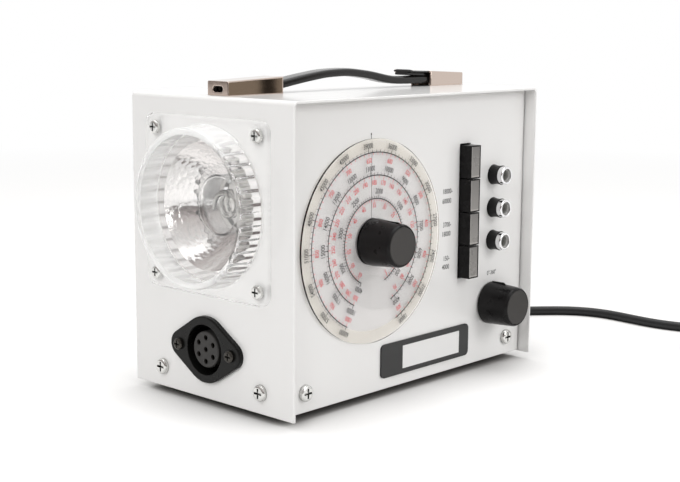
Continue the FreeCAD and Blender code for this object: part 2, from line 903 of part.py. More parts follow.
def make_lamp_base():
    base = rod(lamp_axis(glass_end), X_AXIS, lamp_base_radius, lamp_base_length)
    stem_radius = flash_coil_radius - flash_tube_diameter / 2 - lamp_stem_gap
    base = base.fuse(rod(lamp_axis(glass_end - lamp_stem_reach), X_AXIS, stem_radius, lamp_stem_reach))
    for offset in lamp_pin_offsets():
        base = base.fuse(rod(lamp_axis(lamp_base_end) + offset, X_AXIS, lamp_pin_radius, lamp_pin_length))
    return base.removeSplitter()


def make_lamp_holder():
    holder = rod(lamp_axis(lamp_base_end), X_AXIS, holder_radius, holder_length)
    hole_radius = lamp_pin_radius + lamp_pin_clearance
    for offset in lamp_pin_offsets():
        start = lamp_axis(lamp_base_end) + offset
        holder = holder.cut(rod(start, X_AXIS, hole_radius, lamp_pin_length + lamp_pin_end_gap))
    return holder


def make_lamp_bracket():
    """Folded bracket that stands on the tray and carries the lamp holder."""
    x0 = face_x + lamp_base_end + holder_length
    half = bracket_width / 2
    cy = near_y + lens_y
    high = case_z + lens_z + bracket_rise_over_lamp
    upright = box(x0, cy - half, tray_floor, x0 + bracket_thickness, cy + half, high)
    upright = fillet_along(upright, X_AXIS, bracket_corner, lambda c: c.z > high - 1)
    foot = box(x0 - bracket_foot, cy - half, tray_floor,
               x0 + bracket_thickness, cy + half, tray_floor + bracket_thickness)
    return upright.fuse(foot).removeSplitter()


export("lens_cover", make_lens())
lens_seat = V(-lens_flange_thickness, 0, 0)
lens_shank = lens_flange_thickness + lens_screw_grip
lens_size = (lens_screw_head_radius, lens_screw_head_height, lens_screw_radius, lens_shank)
export("lens_screws", [pan_screw(V(-1, 0, 0), p + lens_seat, *lens_size) for p in lens_screw_places()])
export("reflector", make_reflector())
export("lamp_glass", make_lamp_glass())
export("flash_tube", make_flash_tube())
export("lamp_base", make_lamp_base())
export("lamp_holder", make_lamp_holder())
export("lamp_bracket", make_lamp_bracket())


# Remote lamp socket
def rhombic_outline(x):
    """Outline of a two-eared flange: a large circle and two small ones with tangents."""
    c = socket_screw_spacing / 2
    turn = math.acos((socket_flange_radius - socket_ear_radius) / c)
    centre = case_point(x, socket_y, socket_z)

    def at(side, offset, radius, angle):
        return centre + V(0, side * (offset + radius * math.cos(angle)), radius * math.sin(angle))

    big = socket_flange_radius
    small = socket_ear_radius
    edges = []
    edges.append(line(at(1, 0, big, turn), at(1, c, small, turn)))
    edges.append(arc(at(1, c, small, turn), at(1, c, small, 0), at(1, c, small, -turn)))
    edges.append(line(at(1, c, small, -turn), at(1, 0, big, -turn)))
    edges.append(arc(at(1, 0, big, -turn), centre + V(0, 0, -big), at(-1, 0, big, -turn)))
    edges.append(line(at(-1, 0, big, -turn), at(-1, c, small, -turn)))
    edges.append(arc(at(-1, c, small, -turn), at(-1, c, small, 0), at(-1, c, small, turn)))
    edges.append(line(at(-1, c, small, turn), at(-1, 0, big, turn)))
    edges.append(arc(at(-1, 0, big, turn), centre + V(0, 0, big), at(1, 0, big, turn)))
    return Part.Wire(edges)


def socket_axis(x):
    return case_point(x, socket_y, socket_z)


def make_socket_body():
    front = -socket_flange_thickness
    body = Part.Face(rhombic_outline(front)).extrude(V(socket_flange_thickness, 0, 0))
    front_x = face_x + front
    body = body.makeFillet(socket_edge, [e for e in body.Edges if abs(e.CenterOfMass.x - front_x) < 1e-6])
    body = body.fuse(rod(socket_axis(0), X_AXIS, socket_barrel_radius, socket_barrel_depth)).removeSplitter()
    depth = socket_flange_thickness + socket_barrel_depth - socket_floor
    body = body.cut(rod(socket_axis(front), X_AXIS, socket_recess_radius, depth))
    for place in socket_screw_places():
        start = place.sub(V(2 * socket_flange_thickness, 0, 0))
        body = body.cut(rod(start, X_AXIS, socket_screw_radius + hole_clearance, 4 * socket_flange_thickness))
    return body


def contact_places():
    front = socket_insert_setback - socket_flange_thickness
    places = [socket_axis(front)]
    for i in range(socket_contact_count):
        angle = 2 * math.pi * (i + 0.5) / socket_contact_count
        offset = V(0, socket_contact_circle * math.cos(angle), socket_contact_circle * math.sin(angle))
        places.append(socket_axis(front) + offset)
    return places


def make_socket_insert():
    front = socket_insert_setback - socket_flange_thickness
    length = socket_barrel_depth - socket_floor - front
    insert = rod(socket_axis(front), X_AXIS, socket_insert_radius, length)
    front_edges = [e for e in insert.Edges if abs(e.CenterOfMass.x - face_x - front) < 1e-6]
    insert = insert.makeChamfer(socket_insert_edge, front_edges)
    for place in contact_places():
        insert = insert.cut(rod(place, X_AXIS, socket_contact_radius, socket_contact_depth))
    return insert


def make_socket_contacts():
    sleeves = []
    bore = socket_contact_radius - socket_sleeve_wall
    for place in contact_places():
        start = place + V(socket_sleeve_setback, 0, 0)
        length = socket_contact_depth - socket_sleeve_setback
        sleeve = rod(start, X_AXIS, socket_contact_radius, length)
        sleeves.append(sleeve.cut(rod(start, X_AXIS, bore, length - socket_sleeve_floor)))
    return sleeves


export("socket_body", make_socket_body())
export("socket_insert", make_socket_insert())
export("socket_contacts", make_socket_contacts())
socket_seat = V(-socket_flange_thickness, 0, 0)
socket_shank = socket_flange_thickness + socket_screw_grip
socket_size = (socket_screw_head_radius, socket_screw_head_height, socket_screw_radius, socket_shank)
export("socket_screws", [pan_screw(V(-1, 0, 0), p + socket_seat, *socket_size) for p in socket_screw_places()])


# Rotary controls
def control_axis(x, z, y):
    return V(face_x + x, y, case_z + z)


def make_pot(x, z):
    """Control body behind the panel with its bush through the panel and three tags."""
    pot = rod(control_axis(x, z, panel_back), Y_AXIS, pot_body_radius, pot_body_depth)
    bush_start = panel_y - pot_bush_proud
    pot = pot.fuse(rod(control_axis(x, z, bush_start), Y_AXIS, pot_bush_radius, panel_back - bush_start))
    for i in range(pot_tag_count):
        tag_x = face_x + x + (i - (pot_tag_count - 1) / 2) * 2 * pot_tag_width
        low = case_z + z - pot_body_radius - pot_tag_length
        tag_y = panel_back + pot_tag_share * pot_body_depth
        tag = box(tag_x - pot_tag_width / 2, tag_y, low, tag_x + pot_tag_width / 2,
                  tag_y + pot_tag_thickness, case_z + z - 0.5 * pot_body_radius)
        pot = pot.fuse(tag)
    bore_length = panel_back + shaft_in_pot + shaft_end_gap - bush_start
    pot = pot.cut(rod(control_axis(x, z, bush_start), Y_AXIS, shaft_radius + shaft_clearance, bore_length))
    return pot.removeSplitter()


def make_nut(x, z):
    points = []
    radius = pot_nut_across / 2 / math.cos(math.pi / 6)
    for i in range(6):
        angle = math.pi / 3 * i
        points.append(control_axis(x, z, panel_y) + V(radius * math.cos(angle), 0, radius * math.sin(angle)))
    nut = Part.Face(Part.Wire(polyline(points))).extrude(V(0, -pot_nut_thickness, 0))
    bore_radius = pot_bush_radius + nut_clearance
    start = control_axis(x, z, panel_y - pot_nut_thickness - 1)
    return nut.cut(rod(start, Y_AXIS, bore_radius, pot_nut_thickness + 2))


def make_knob(x, z, back, front, base_radius, front_radius, pointer):
    """Tapered knob from its back plane to its front plane, hollow over the nut."""
    knob = cone(control_axis(x, z, back), V(0, -1, 0), base_radius, front_radius, back - front)
    front_edges = [e for e in knob.Edges if abs(e.CenterOfMass.y - front) < 1e-6 and len(e.Vertexes) == 1]
    knob = knob.makeFillet(knob_edge, front_edges)
    if pointer:
        top = case_z + z + base_radius
        half = knob_pointer_width / 2
        nub = box(face_x + x - half, back - knob_pointer_share * (back - front), top - knob_pointer_root,
                  face_x + x + half, back, top + knob_pointer_proud)
        knob = knob.fuse(nub)
    well_front = panel_y - knob_well_depth
    knob = knob.cut(rod(control_axis(x, z, well_front), Y_AXIS, knob_well_radius, back - well_front + 1))
    bore_start = control_axis(x, z, well_front - knob_bore_depth)
    knob = knob.cut(rod(bore_start, Y_AXIS, shaft_radius + knob_bore_clearance, knob_bore_depth + 1))
    return knob.removeSplitter()


def make_shaft(x, z):
    start = panel_y - knob_well_depth - knob_bore_depth
    return rod(control_axis(x, z, start), Y_AXIS, shaft_radius, panel_back + shaft_in_pot - start)


dial_front = panel_y - dial_front_gap
disc = rod(control_axis(dial_x, dial_z, dial_front), Y_AXIS, dial_radius, dial_thickness)
disc = disc.makeFillet(dial_edge, [e for e in disc.Edges if len(e.Vertexes) == 1])
disc = disc.cut(rod(control_axis(dial_x, dial_z, dial_front - 1), Y_AXIS, dial_hole_radius, dial_thickness + 2))
export("dial_disc", disc)
main_front = panel_y - main_knob_height
main_size = (main_knob_base_radius, main_knob_front_radius)
export("main_knob", make_knob(dial_x, dial_z, dial_front, main_front, *main_size, False))
export("dial_shaft", make_shaft(dial_x, dial_z))
export("frequency_control", make_pot(dial_x, dial_z))
phase_back = panel_y - phase_knob_gap
phase_front = panel_y - phase_knob_height
phase_size = (phase_knob_base_radius, phase_knob_front_radius)
export("phase_knob", make_knob(phase_x, phase_z, phase_back, phase_front, *phase_size, True))
export("phase_shaft", make_shaft(phase_x, phase_z))
export("phase_control", make_pot(phase_x, phase_z))
export("control_nuts", [make_nut(dial_x, dial_z), make_nut(phase_x, phase_z)])


# Range keys
def key_box(index):
    """Left, right, low and high limits of one key cap; key 1 is at the top."""
    left = face_x + key_x
    low = case_z + key_bottom + (key_count - index) * key_pitch
    return left, left + key_width, low + key_gap / 2, low + key_pitch - key_gap / 2


def make_key(index):
    left, right, low, high = key_box(index)
    front = panel_y - key_proud
    back = front + key_cap_depth
    cap = box(left, front, low, right, back, high)
    cap = fillet_along(cap, Y_AXIS, key_edge, lambda c: True)
    pocket = box(left + key_frame, front - 1, low + key_frame,
                 right - key_frame, front + key_window_depth, high - key_frame)
    cap = cap.cut(pocket)
    mid_x = (left + right) / 2
    mid_z = (low + high) / 2
    stem = box(mid_x - key_stem_width / 2, back, mid_z - key_stem_height / 2,
               mid_x + key_stem_width / 2, back + key_stem_length, mid_z + key_stem_height / 2)
    return cap.fuse(stem).removeSplitter()


def make_key_window(index):
    left, right, low, high = key_box(index)
    front = panel_y - key_proud
    inset = key_frame + key_window_clearance
    return box(left + inset, front + key_window_setback, low + inset,
               right - inset, front + key_window_depth, high - inset)


def make_key_bank():
    """Switch body behind the panel: a pocket for the caps and a slot for each stem."""
    low, high = key_column()
    left = face_x + key_x
    bank = box(left - bank_margin_x, panel_back, case_z + low - bank_margin_z,
               left + key_width + bank_margin_x, panel_back + bank_depth, case_z + high + bank_margin_z)
    pocket_depth = key_cap_depth - key_proud + key_travel + bank_end_gap
    right = left + key_width
    bank = bank.cut(box(left - key_hole_margin, panel_back - 1, case_z + low - key_hole_margin,
                        right + key_hole_margin, panel_y + pocket_depth, case_z + high + key_hole_margin))
    slot_end = panel_y + key_cap_depth - key_proud + key_stem_length + key_travel + bank_end_gap
    for index in range(1, key_count + 1):
        left_edge, right_edge, low_edge, high_edge = key_box(index)
        mid_x = (left_edge + right_edge) / 2
        mid_z = (low_edge + high_edge) / 2
        half_x = key_stem_width / 2 + stem_clearance
        half_z = key_stem_height / 2 + stem_clearance
        bank = bank.cut(box(mid_x - half_x, panel_back, mid_z - half_z,
                            mid_x + half_x, slot_end, mid_z + half_z))
    return bank


for number in range(1, key_count + 1):
    export("key_" + str(number), make_key(number))
    export("key_window_" + str(number), make_key_window(number))
export("key_bank", make_key_bank())


# Output jacks
def jack_profile_collar(place):
    def at(y, r):
        return V(place.x + r, panel_y - y, place.z)

    half = jack_collar_length / 2
    edges = [
        line(at(0, jack_bush_radius), at(0, jack_collar_radius)),
        arc(at(0, jack_collar_radius), at(half, jack_waist_radius), at(jack_collar_length, jack_lip_radius)),
        line(at(jack_collar_length, jack_lip_radius), at(jack_collar_length, jack_bush_radius)),
        line(at(jack_collar_length, jack_bush_radius), at(0, jack_bush_radius)),
    ]
    return revolved(edges, V(place.x, 0, place.z), Y_AXIS)


jack_front = panel_y - jack_collar_length - jack_ring_length


def make_jack_ring(place):
    """Bright ring on its threaded bush, which passes through collar and panel."""
    ring = rod(V(place.x, jack_front, place.z), Y_AXIS, jack_ring_radius, jack_ring_length)
    front_edges = [e for e in ring.Edges if abs(e.CenterOfMass.y - jack_front) < 1e-6]
    ring = ring.makeFillet(jack_ring_round, front_edges)
    start = jack_front + jack_ring_length
    length = panel_back + jack_bush_depth - start
    ring = ring.fuse(rod(V(place.x, start, place.z), Y_AXIS, jack_bush_radius - jack_fit, length))
    bore_length = jack_ring_length + length + 2
    ring = ring.cut(rod(V(place.x, jack_front - 1, place.z), Y_AXIS, jack_mouth_radius, bore_length))
    return ring.removeSplitter()


def make_jack_insert(place):
    start = jack_front + jack_insert_setback
    length = panel_back + jack_insert_depth - start
    insert = rod(V(place.x, start, place.z), Y_AXIS, jack_mouth_radius - jack_fit, length)
    return insert.cut(rod(V(place.x, start, place.z), Y_AXIS, jack_bore_radius, jack_bore_depth))


export("jack_collars", [jack_profile_collar(place) for place in jack_places()])
export("jack_rings", [make_jack_ring(place) for place in jack_places()])
export("jack_inserts", [make_jack_insert(place) for place in jack_places()])

# Plate under the dial
plate_origin = case_point(plate_left, panel_recess, plate_bottom)
plate = box(plate_origin.x, panel_y - plate_thickness, plate_origin.z,
            plate_origin.x + plate_width, panel_y, plate_origin.z + plate_height)
plate = fillet_along(plate, Y_AXIS, plate_corner, lambda c: True)
export("name_plate", plate)
field_x = plate_origin.x + plate_field_left
field_z = plate_origin.z + plate_field_bottom
field_front = panel_y - plate_thickness - plate_field_thickness
field = box(field_x, field_front, field_z, field_x + plate_field_width,
            panel_y - plate_thickness, field_z + plate_field_height)
export("plate_field", field)


# Carrying handle
def handle_point(x, z):
    """A point on the middle plane of the handle, from the case corner and the case top."""
    return case_point(x, handle_y, case_height + z)


def strap_side(offset):
    """Edge of the strap seen from the side, a steady distance from its centre line."""
    start = handle_start + strap_end_inset
    end = handle_end - strap_end_inset
    low = strap_rest_height + offset
    mouth = handle_start + front_cap_length
    flat_start = handle_end - strap_flat_run
    curve_points = [handle_point(mouth + share * (flat_start - mouth), z + offset) for share, z in strap_crown]
    curve_points.append(handle_point(flat_start, low))
    spline = Part.BSplineCurve()
    spline.interpolate(curve_points)
    first = handle_point(start, low)
    last = handle_point(end, low)
    return first, curve_points[0], spline.toShape(), curve_points[-1], last


def make_strap():
    low_first, low_bend, low_curve, low_flat, low_last = strap_side(-strap_half_thickness)
    top_first, top_bend, top_curve, top_flat, top_last = strap_side(strap_half_thickness)
    edges = [line(low_first, low_bend), low_curve, line(low_flat, low_last), line(low_last, top_last),
             line(top_last, top_flat), top_curve, line(top_bend, top_first), line(top_first, low_first)]
    face = Part.Face(Part.Wire(edges))
    face.translate(V(0, -strap_width / 2, 0))
    strap = face.extrude(V(0, strap_width, 0))
    for place in handle_screw_places():
        strap = strap.cut(rod(place, Z_AXIS, handle_screw_radius + hole_clearance, 2 * cap_height))
    return strap


def cap_profile(x_end, x_mouth, inset):
    """Side outline of a cap: lower at its closed end, inset by the sheet for the inside."""
    side = 1 if x_mouth > x_end else -1
    x0 = x_end + side * inset
    x1 = x_mouth + (side if inset else 0)
    return [handle_point(x0, -1 if inset else 0), handle_point(x1, -1 if inset else 0),
            handle_point(x1, cap_height - inset), handle_point(x0, cap_end_height - inset)]


def make_cap(x_end, x_mouth, lip):
    """Bent metal cap over one end of the strap, open below and at its mouth."""
    def block(inset):
        half = cap_width / 2 - inset
        face = Part.Face(Part.Wire(polyline(cap_profile(x_end, x_mouth, inset))))
        face.translate(V(0, -half, 0))
        return face.extrude(V(0, 2 * half, 0))

    outer = block(0)
    high = top_z + 0.6 * cap_end_height
    centre_y = near_y + handle_y
    long_edges = [e for e in outer.Edges if e.CenterOfMass.z > high and abs(e.CenterOfMass.y - centre_y) > 1]
    outer = outer.makeFillet(cap_edge, long_edges)
    cap = outer.cut(block(cap_sheet))
    side = 1 if x_mouth > x_end else -1
    if lip:
        x0 = face_x + x_mouth
        x1 = x0 + side * lip
        half = cap_width / 2 - cap_edge
        high = top_z + cap_height
        tongue = box(min(x0, x1), centre_y - half, high - cap_sheet, max(x0, x1), centre_y + half, high)
        cap = cap.fuse(tongue).removeSplitter()
    slot_z = top_z + cap_slot_share * cap_end_height
    half_slot = cap_slot_width / 2
    x0 = face_x + x_end - side
    x1 = x0 + side * (cap_sheet + 2)
    slot = box(min(x0, x1), centre_y - half_slot, slot_z - cap_slot_height / 2,
               max(x0, x1), centre_y + half_slot, slot_z + cap_slot_height / 2)
    slot = fillet_along(slot, X_AXIS, 0.48 * cap_slot_height, lambda c: True)
    return cap.cut(slot)


export("handle_strap", make_strap())
export("handle_cap_front", make_cap(handle_start, handle_start + front_cap_length, 0))
export("handle_cap_rear", make_cap(handle_end, handle_end - rear_cap_length, rear_cap_lip))
handle_screws = []
for place in handle_screw_places():
    seat = place.sub(V(0, 0, sheet))
    shank = sheet + cap_end_height - cap_sheet
    size = (handle_screw_head_radius, handle_screw_head_height, handle_screw_radius, shank)
    handle_screws.append(pan_screw(V(0, 0, -1), seat, *size))
export("handle_screws", handle_screws)

# Electronics
board_z = tray_floor + board_height
board_corner = case_point(board_x, board_y, 0)
export("circuit_board", box(board_corner.x, board_corner.y, board_z, board_corner.x + board_length,
                            board_corner.y + board_width, board_z + board_thickness))
standoffs = []
for dx in (standoff_inset, board_length - standoff_inset):
    for dy in (standoff_inset, board_width - standoff_inset):
        foot_point = V(board_corner.x + dx, board_corner.y + dy, tray_floor)
        standoffs.append(rod(foot_point, Z_AXIS, standoff_radius, board_height))
export("board_standoffs", standoffs)
board_top = board_z + board_thickness
capacitor_y = board_corner.y + capacitor_radius + capacitor_side_gap
capacitor_place = V(board_corner.x + capacitor_end_gap, capacitor_y, board_top + capacitor_radius)
export("storage_capacitor", rod(capacitor_place, X_AXIS, capacitor_radius, capacitor_length))
trigger_y = board_corner.y + board_width - trigger_far_inset
trigger_place = V(board_corner.x + trigger_inset_x, trigger_y, board_top)
export("trigger_coil", rod(trigger_place, Z_AXIS, trigger_radius, trigger_length))


def make_core():
    """Laminated core with two windows for the winding."""
    corner = V(face_x + core_x, near_y + core_y, tray_floor)
    core = Part.makeBox(core_length, core_depth, core_height, corner)
    limb = (core_length - 2 * core_window_length) / 4
    low = tray_floor + (core_height - core_window_height) / 2
    for x in (limb, core_length - limb - core_window_length):
        core = core.cut(box(corner.x + x, corner.y - 1, low, corner.x + x + core_window_length,
                            corner.y + core_depth + 1, low + core_window_height))
    return core


def make_winding():
    """The winding round the middle limb, bulging out on both sides of the core."""
    limb = (core_length - 2 * core_window_length) / 4
    x0 = face_x + core_x + limb + core_limb_gap
    x1 = face_x + core_x + core_length - limb - core_limb_gap
    y0 = near_y + core_y - winding_bulge
    y1 = near_y + core_y + core_depth + winding_bulge
    low = tray_floor + (core_height - core_window_height) / 2 + core_limb_gap
    high = low + core_window_height - 2 * core_limb_gap
    winding = box(x0, y0, low, x1, y1, high)
    winding = fillet_along(winding, Z_AXIS, winding_corner, lambda c: True)
    inner_x0 = face_x + core_x + limb + core_window_length - core_limb_gap
    inner_x1 = face_x + core_x + core_length - limb - core_window_length + core_limb_gap
    middle = box(inner_x0, near_y + core_y - core_limb_gap, low - 1,
                 inner_x1, near_y + core_y + core_depth + core_limb_gap, high + 1)
    return winding.cut(middle)


export("transformer_core", make_core())
export("transformer_winding", make_winding())


# Rear wall fittings
def rear_axis(y, z, x):
    return V(rear_x + x, near_y + y, case_z + z)


def make_fuse_holder():
    holder = rod(rear_axis(fuse_y, fuse_z, 0), X_AXIS, fuse_flange_radius, fuse_flange_thickness)
    holder = holder.fuse(rod(rear_axis(fuse_y, fuse_z, 0), X_AXIS, fuse_cap_radius, fuse_cap_proud))
    inside = rear_axis(fuse_y, fuse_z, -fuse_body_depth)
    holder = holder.fuse(rod(inside, X_AXIS, fuse_body_radius, fuse_body_depth))
    end_x = rear_x + fuse_cap_proud
    holder = holder.removeSplitter()
    holder = holder.makeFillet(fuse_edge, [e for e in holder.Edges if abs(e.CenterOfMass.x - end_x) < 1e-6])
    half = fuse_slot_share * fuse_cap_radius
    centre = rear_axis(fuse_y, fuse_z, 0)
    slot = box(end_x - fuse_slot_depth, centre.y - half, centre.z - fuse_slot_width / 2,
               end_x + 1, centre.y + half, centre.z + fuse_slot_width / 2)
    return holder.cut(slot)


def rocker_pivot():
    return rear_axis(rocker_y, rocker_z, -rocker_pivot_depth)


def make_rocker_bezel():
    """Switch body with a framed mouth; the rocker turns on two small pins in its walls."""
    c = rear_axis(rocker_y, rocker_z, 0)
    half_w = rocker_width / 2 + rocker_frame
    half_h = rocker_height / 2 + rocker_frame
    bezel = box(rear_x, c.y - half_w, c.z - half_h, rear_x + rocker_bezel_proud, c.y + half_w, c.z + half_h)
    bezel = fillet_along(bezel, X_AXIS, rocker_bezel_corner, lambda p: True)
    body_w = half_w - rocker_body_step
    body_h = half_h - rocker_body_step
    body = box(rear_x - rocker_body_depth, c.y - body_w, c.z - body_h, rear_x, c.y + body_w, c.z + body_h)
    bezel = bezel.fuse(body)
    inner_w = rocker_width / 2 + rocker_clearance
    inner_h = rocker_height / 2 + rocker_clearance
    bezel = bezel.cut(box(rear_x - rocker_body_depth + rocker_body_floor, c.y - inner_w, c.z - inner_h,
                          rear_x + rocker_bezel_proud + 1, c.y + inner_w, c.z + inner_h))
    p = rocker_pivot()
    pin_hole = rocker_width / 2 + rocker_pin_length + rocker_clearance
    hole_radius = rocker_pin_radius + rocker_pin_clearance
    return bezel.cut(rod(V(p.x, p.y - pin_hole, p.z), Y_AXIS, hole_radius, 2 * pin_hole))


def make_rocker():
    """Rocker with two shallow faces, tilted to its off side about its pivot."""
    p = rocker_pivot()
    half = rocker_width / 2
    radius = rocker_height / 2
    drum = rod(V(p.x, p.y - half, p.z), Y_AXIS, radius, rocker_width)
    near = p.y - half
    back_x = p.x - rocker_back_share * radius
    front_x = p.x + rocker_pivot_depth + rocker_proud
    points = [V(back_x, near, p.z - 2 * radius), V(back_x, near, p.z + 2 * radius),
              V(front_x, near, p.z + 2 * radius), V(front_x - rocker_dish, near, p.z),
              V(front_x, near, p.z - 2 * radius)]
    trim = Part.Face(Part.Wire(polyline(points))).extrude(V(0, rocker_width, 0))
    rocker = drum.common(trim)
    reach = half + rocker_pin_length
    rocker = rocker.fuse(rod(V(p.x, p.y - reach, p.z), Y_AXIS, rocker_pin_radius, 2 * reach)).removeSplitter()
    rocker.rotate(p, Y_AXIS, rocker_tilt)
    return rocker


export("fuse_holder", make_fuse_holder())
export("rocker_bezel", make_rocker_bezel())
export("mains_rocker", make_rocker())


# Mains lead
def make_gland():
    """Moulded strain relief: a flange, a ribbed tapering sleeve and a neck in the wall."""
    centre = V(rear_x, near_y + cord_exit_y, cord_exit_z)
    gland = rod(centre, X_AXIS, gland_flange_radius, gland_flange_thickness)
    sleeve_start = V(rear_x + gland_flange_thickness, centre.y, centre.z)
    sleeve_length = gland_length - gland_flange_thickness
    gland = gland.fuse(cone(sleeve_start, X_AXIS, gland_base_radius, gland_tip_radius, sleeve_length))
    inside = V(rear_x - gland_inside, centre.y, centre.z)
    gland = gland.fuse(rod(inside, X_AXIS, gland_base_radius, gland_inside))
    step = (sleeve_length - 2 * gland_rib_start) / gland_rib_count
    for i in range(gland_rib_count):
        x = sleeve_start.x + gland_rib_start + i * step
        share = (x - sleeve_start.x) / sleeve_length
        radius = gland_base_radius + (gland_tip_radius - gland_base_radius) * share
        groove = rod(V(x, centre.y, centre.z), X_AXIS, gland_base_radius + 1, gland_rib_width)
        core_start = V(x - 1, centre.y, centre.z)
        groove = groove.cut(rod(core_start, X_AXIS, radius - gland_rib_depth, gland_rib_width + 2))
        gland = gland.cut(groove)
    return gland.removeSplitter()


coil_centre = V(face_x + coil_centre_x, near_y + coil_centre_y, cord_on_floor)
coil_outer = coil_mid_radius + coil_turns_in * coil_step / 2
coil_inner = coil_outer - coil_turns_in * coil_step
coil_turns = coil_turns_in + coil_turns_climb + coil_turns_out


def coil_curve(u):
    """Clockwise spiral in, half a turn up a layer, and a spiral out; u counts turns."""
    if u < coil_turns_in:
        radius = coil_outer - coil_step * u
        z = 0
    elif u < coil_turns_in + coil_turns_climb:
        share = (u - coil_turns_in) / coil_turns_climb
        radius = coil_inner - coil_dip * math.sin(math.pi * share) ** 2
        z = coil_layer_rise * (share - math.sin(2 * math.pi * share) / (2 * math.pi))
    else:
        radius = coil_inner + coil_step * (u - coil_turns_in - coil_turns_climb)
        z = coil_layer_rise
    angle = -2 * math.pi * u
    return coil_centre + V(radius * math.cos(angle), radius * math.sin(angle), z)


def coil_ends():
    """Start and end points of the coil's tube with their directions."""
    edges, t0, t1 = wound_edges(coil_curve, coil_turns, 4)
    start = coil_curve(0)
    end = coil_curve(coil_turns)
    return edges, start - t0 * cord_diameter, t0, end + t1 * cord_diameter, t1


def make_coil():
    edges, first, t0, last, t1 = coil_ends()
    edges = [line(first, coil_curve(0))] + edges + [line(coil_curve(coil_turns), last)]
    coil = tube_along(edges, first, t0, cord_diameter)
    length = sum(edge.Length for edge in edges)
    section = math.pi * cord_diameter ** 2 / 4
    print("coil length", round(length, 1), "volume share", round(coil.Volume / section / length, 4))
    print("coil gap", round(least_gap(coil_curve, coil_turns, cord_diameter), 2))
    return coil, length


def route_points():
    """The lead's corner points from the gland's tip to the coil's first point."""
    first = V(rear_x + gland_length, near_y + cord_exit_y, cord_exit_z)
    points = [first]
    for x, y, z in cord_route:
        points.append(V(face_x + x, near_y + y, z))
    points.append(coil_ends()[1])
    return points


def make_lead(points):
    """Straight runs joined by tangent arcs as large as the runs allow."""
    edges = []
    last = points[0]
    radii = []
    for i in range(1, len(points) - 1):
        before = points[i] - points[i - 1]
        after = points[i + 1] - points[i]
        turn = before.getAngle(after)
        shorter = min(before.Length, after.Length)
        radius = 0.45 * shorter / math.tan(turn / 2)
        radii.append(round(radius))
        start = points[i] - before.normalize() * (0.45 * shorter)
        end = points[i] + after.normalize() * (0.45 * shorter)
        edges.append(line(last, start))
        edges.append(bend_edges(start, points[i], end))
        last = end
    edges.append(line(last, points[-1]))
    lead = tube_along(edges, points[0], (points[1] - points[0]).normalize(), cord_diameter)
    length = sum(edge.Length for edge in edges)
    section = math.pi * cord_diameter ** 2 / 4
    print("lead radii", radii)
    print("lead length", round(length, 1), "volume share", round(lead.Volume / section / length, 4))
    return lead, length


def tail_points():
    """The short stretch from the coil's last turn to the plug, bending away from the coil."""
    end, direction = coil_ends()[3:5]
    aside = direction.cross(Z_AXIS) * -1
    bend = end + direction * tail_first_run
    return [end, bend, bend + direction * tail_second_run + aside * tail_aside]


def make_plug():
    """Moulded two-pin plug lying beside the coil, its tail on the end of the lead."""
    bend, end = tail_points()[1:]
    direction = (end - bend).normalize()
    height = 2 * end.z
    tail = cone(V(0, 0, 0), Z_AXIS, plug_tail_radius, plug_neck_share * height, plug_tail_length)
    neck = plug_tail_length - plug_neck_overlap
    shoulder = plug_tail_length + plug_shoulder
    body_end = plug_tail_length + plug_length
    half_tip = plug_tip_width / 2
    half = plug_width / 2
    corners = [V(-half_tip, 0, neck), V(-half, 0, shoulder), V(-half, 0, body_end),
               V(half, 0, body_end), V(half, 0, shoulder), V(half_tip, 0, neck)]
    face = Part.Face(Part.Wire(polyline(corners)))
    face.translate(V(0, -height / 2, 0))
    body = face.extrude(V(0, height, 0))
    body = body.makeFillet(plug_edge, [e for e in body.Edges if e.CenterOfMass.z < body_end - 1])
    plug = body.fuse(tail).removeSplitter()
    for side in (-1, 1):
        pin = rod(V(side * pin_spacing / 2, 0, body_end), Z_AXIS, pin_radius, pin_length)
        tip_edges = [e for e in pin.Edges if e.CenterOfMass.z > body_end + pin_length - 0.1]
        pin = pin.makeFillet(pin_round, tip_edges)
        plug = plug.fuse(pin)
    return turned_level(plug, direction, end)


def turned_level(shape, direction, place):
    """Lay a shape built along +Z along a level direction, its Y side kept upright."""
    side = Z_AXIS.cross(direction)
    matrix = FreeCAD.Matrix(side.x, 0, direction.x, place.x,
                            side.y, 0, direction.y, place.y,
                            side.z, 1, direction.z, place.z,
                            0, 0, 0, 1)
    placed = shape.copy()
    placed.Placement = FreeCAD.Placement(matrix)
    return placed


export("cord_gland", make_gland())
coil, coil_length = make_coil()
lead, lead_length = make_lead(route_points())
tail, tail_length = make_lead(tail_points())
export("cord_coil", coil)
export("mains_lead", [lead, tail])
export("mains_plug", make_plug())
print("whole lead", round(coil_length + lead_length + tail_length, 1))
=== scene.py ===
import math

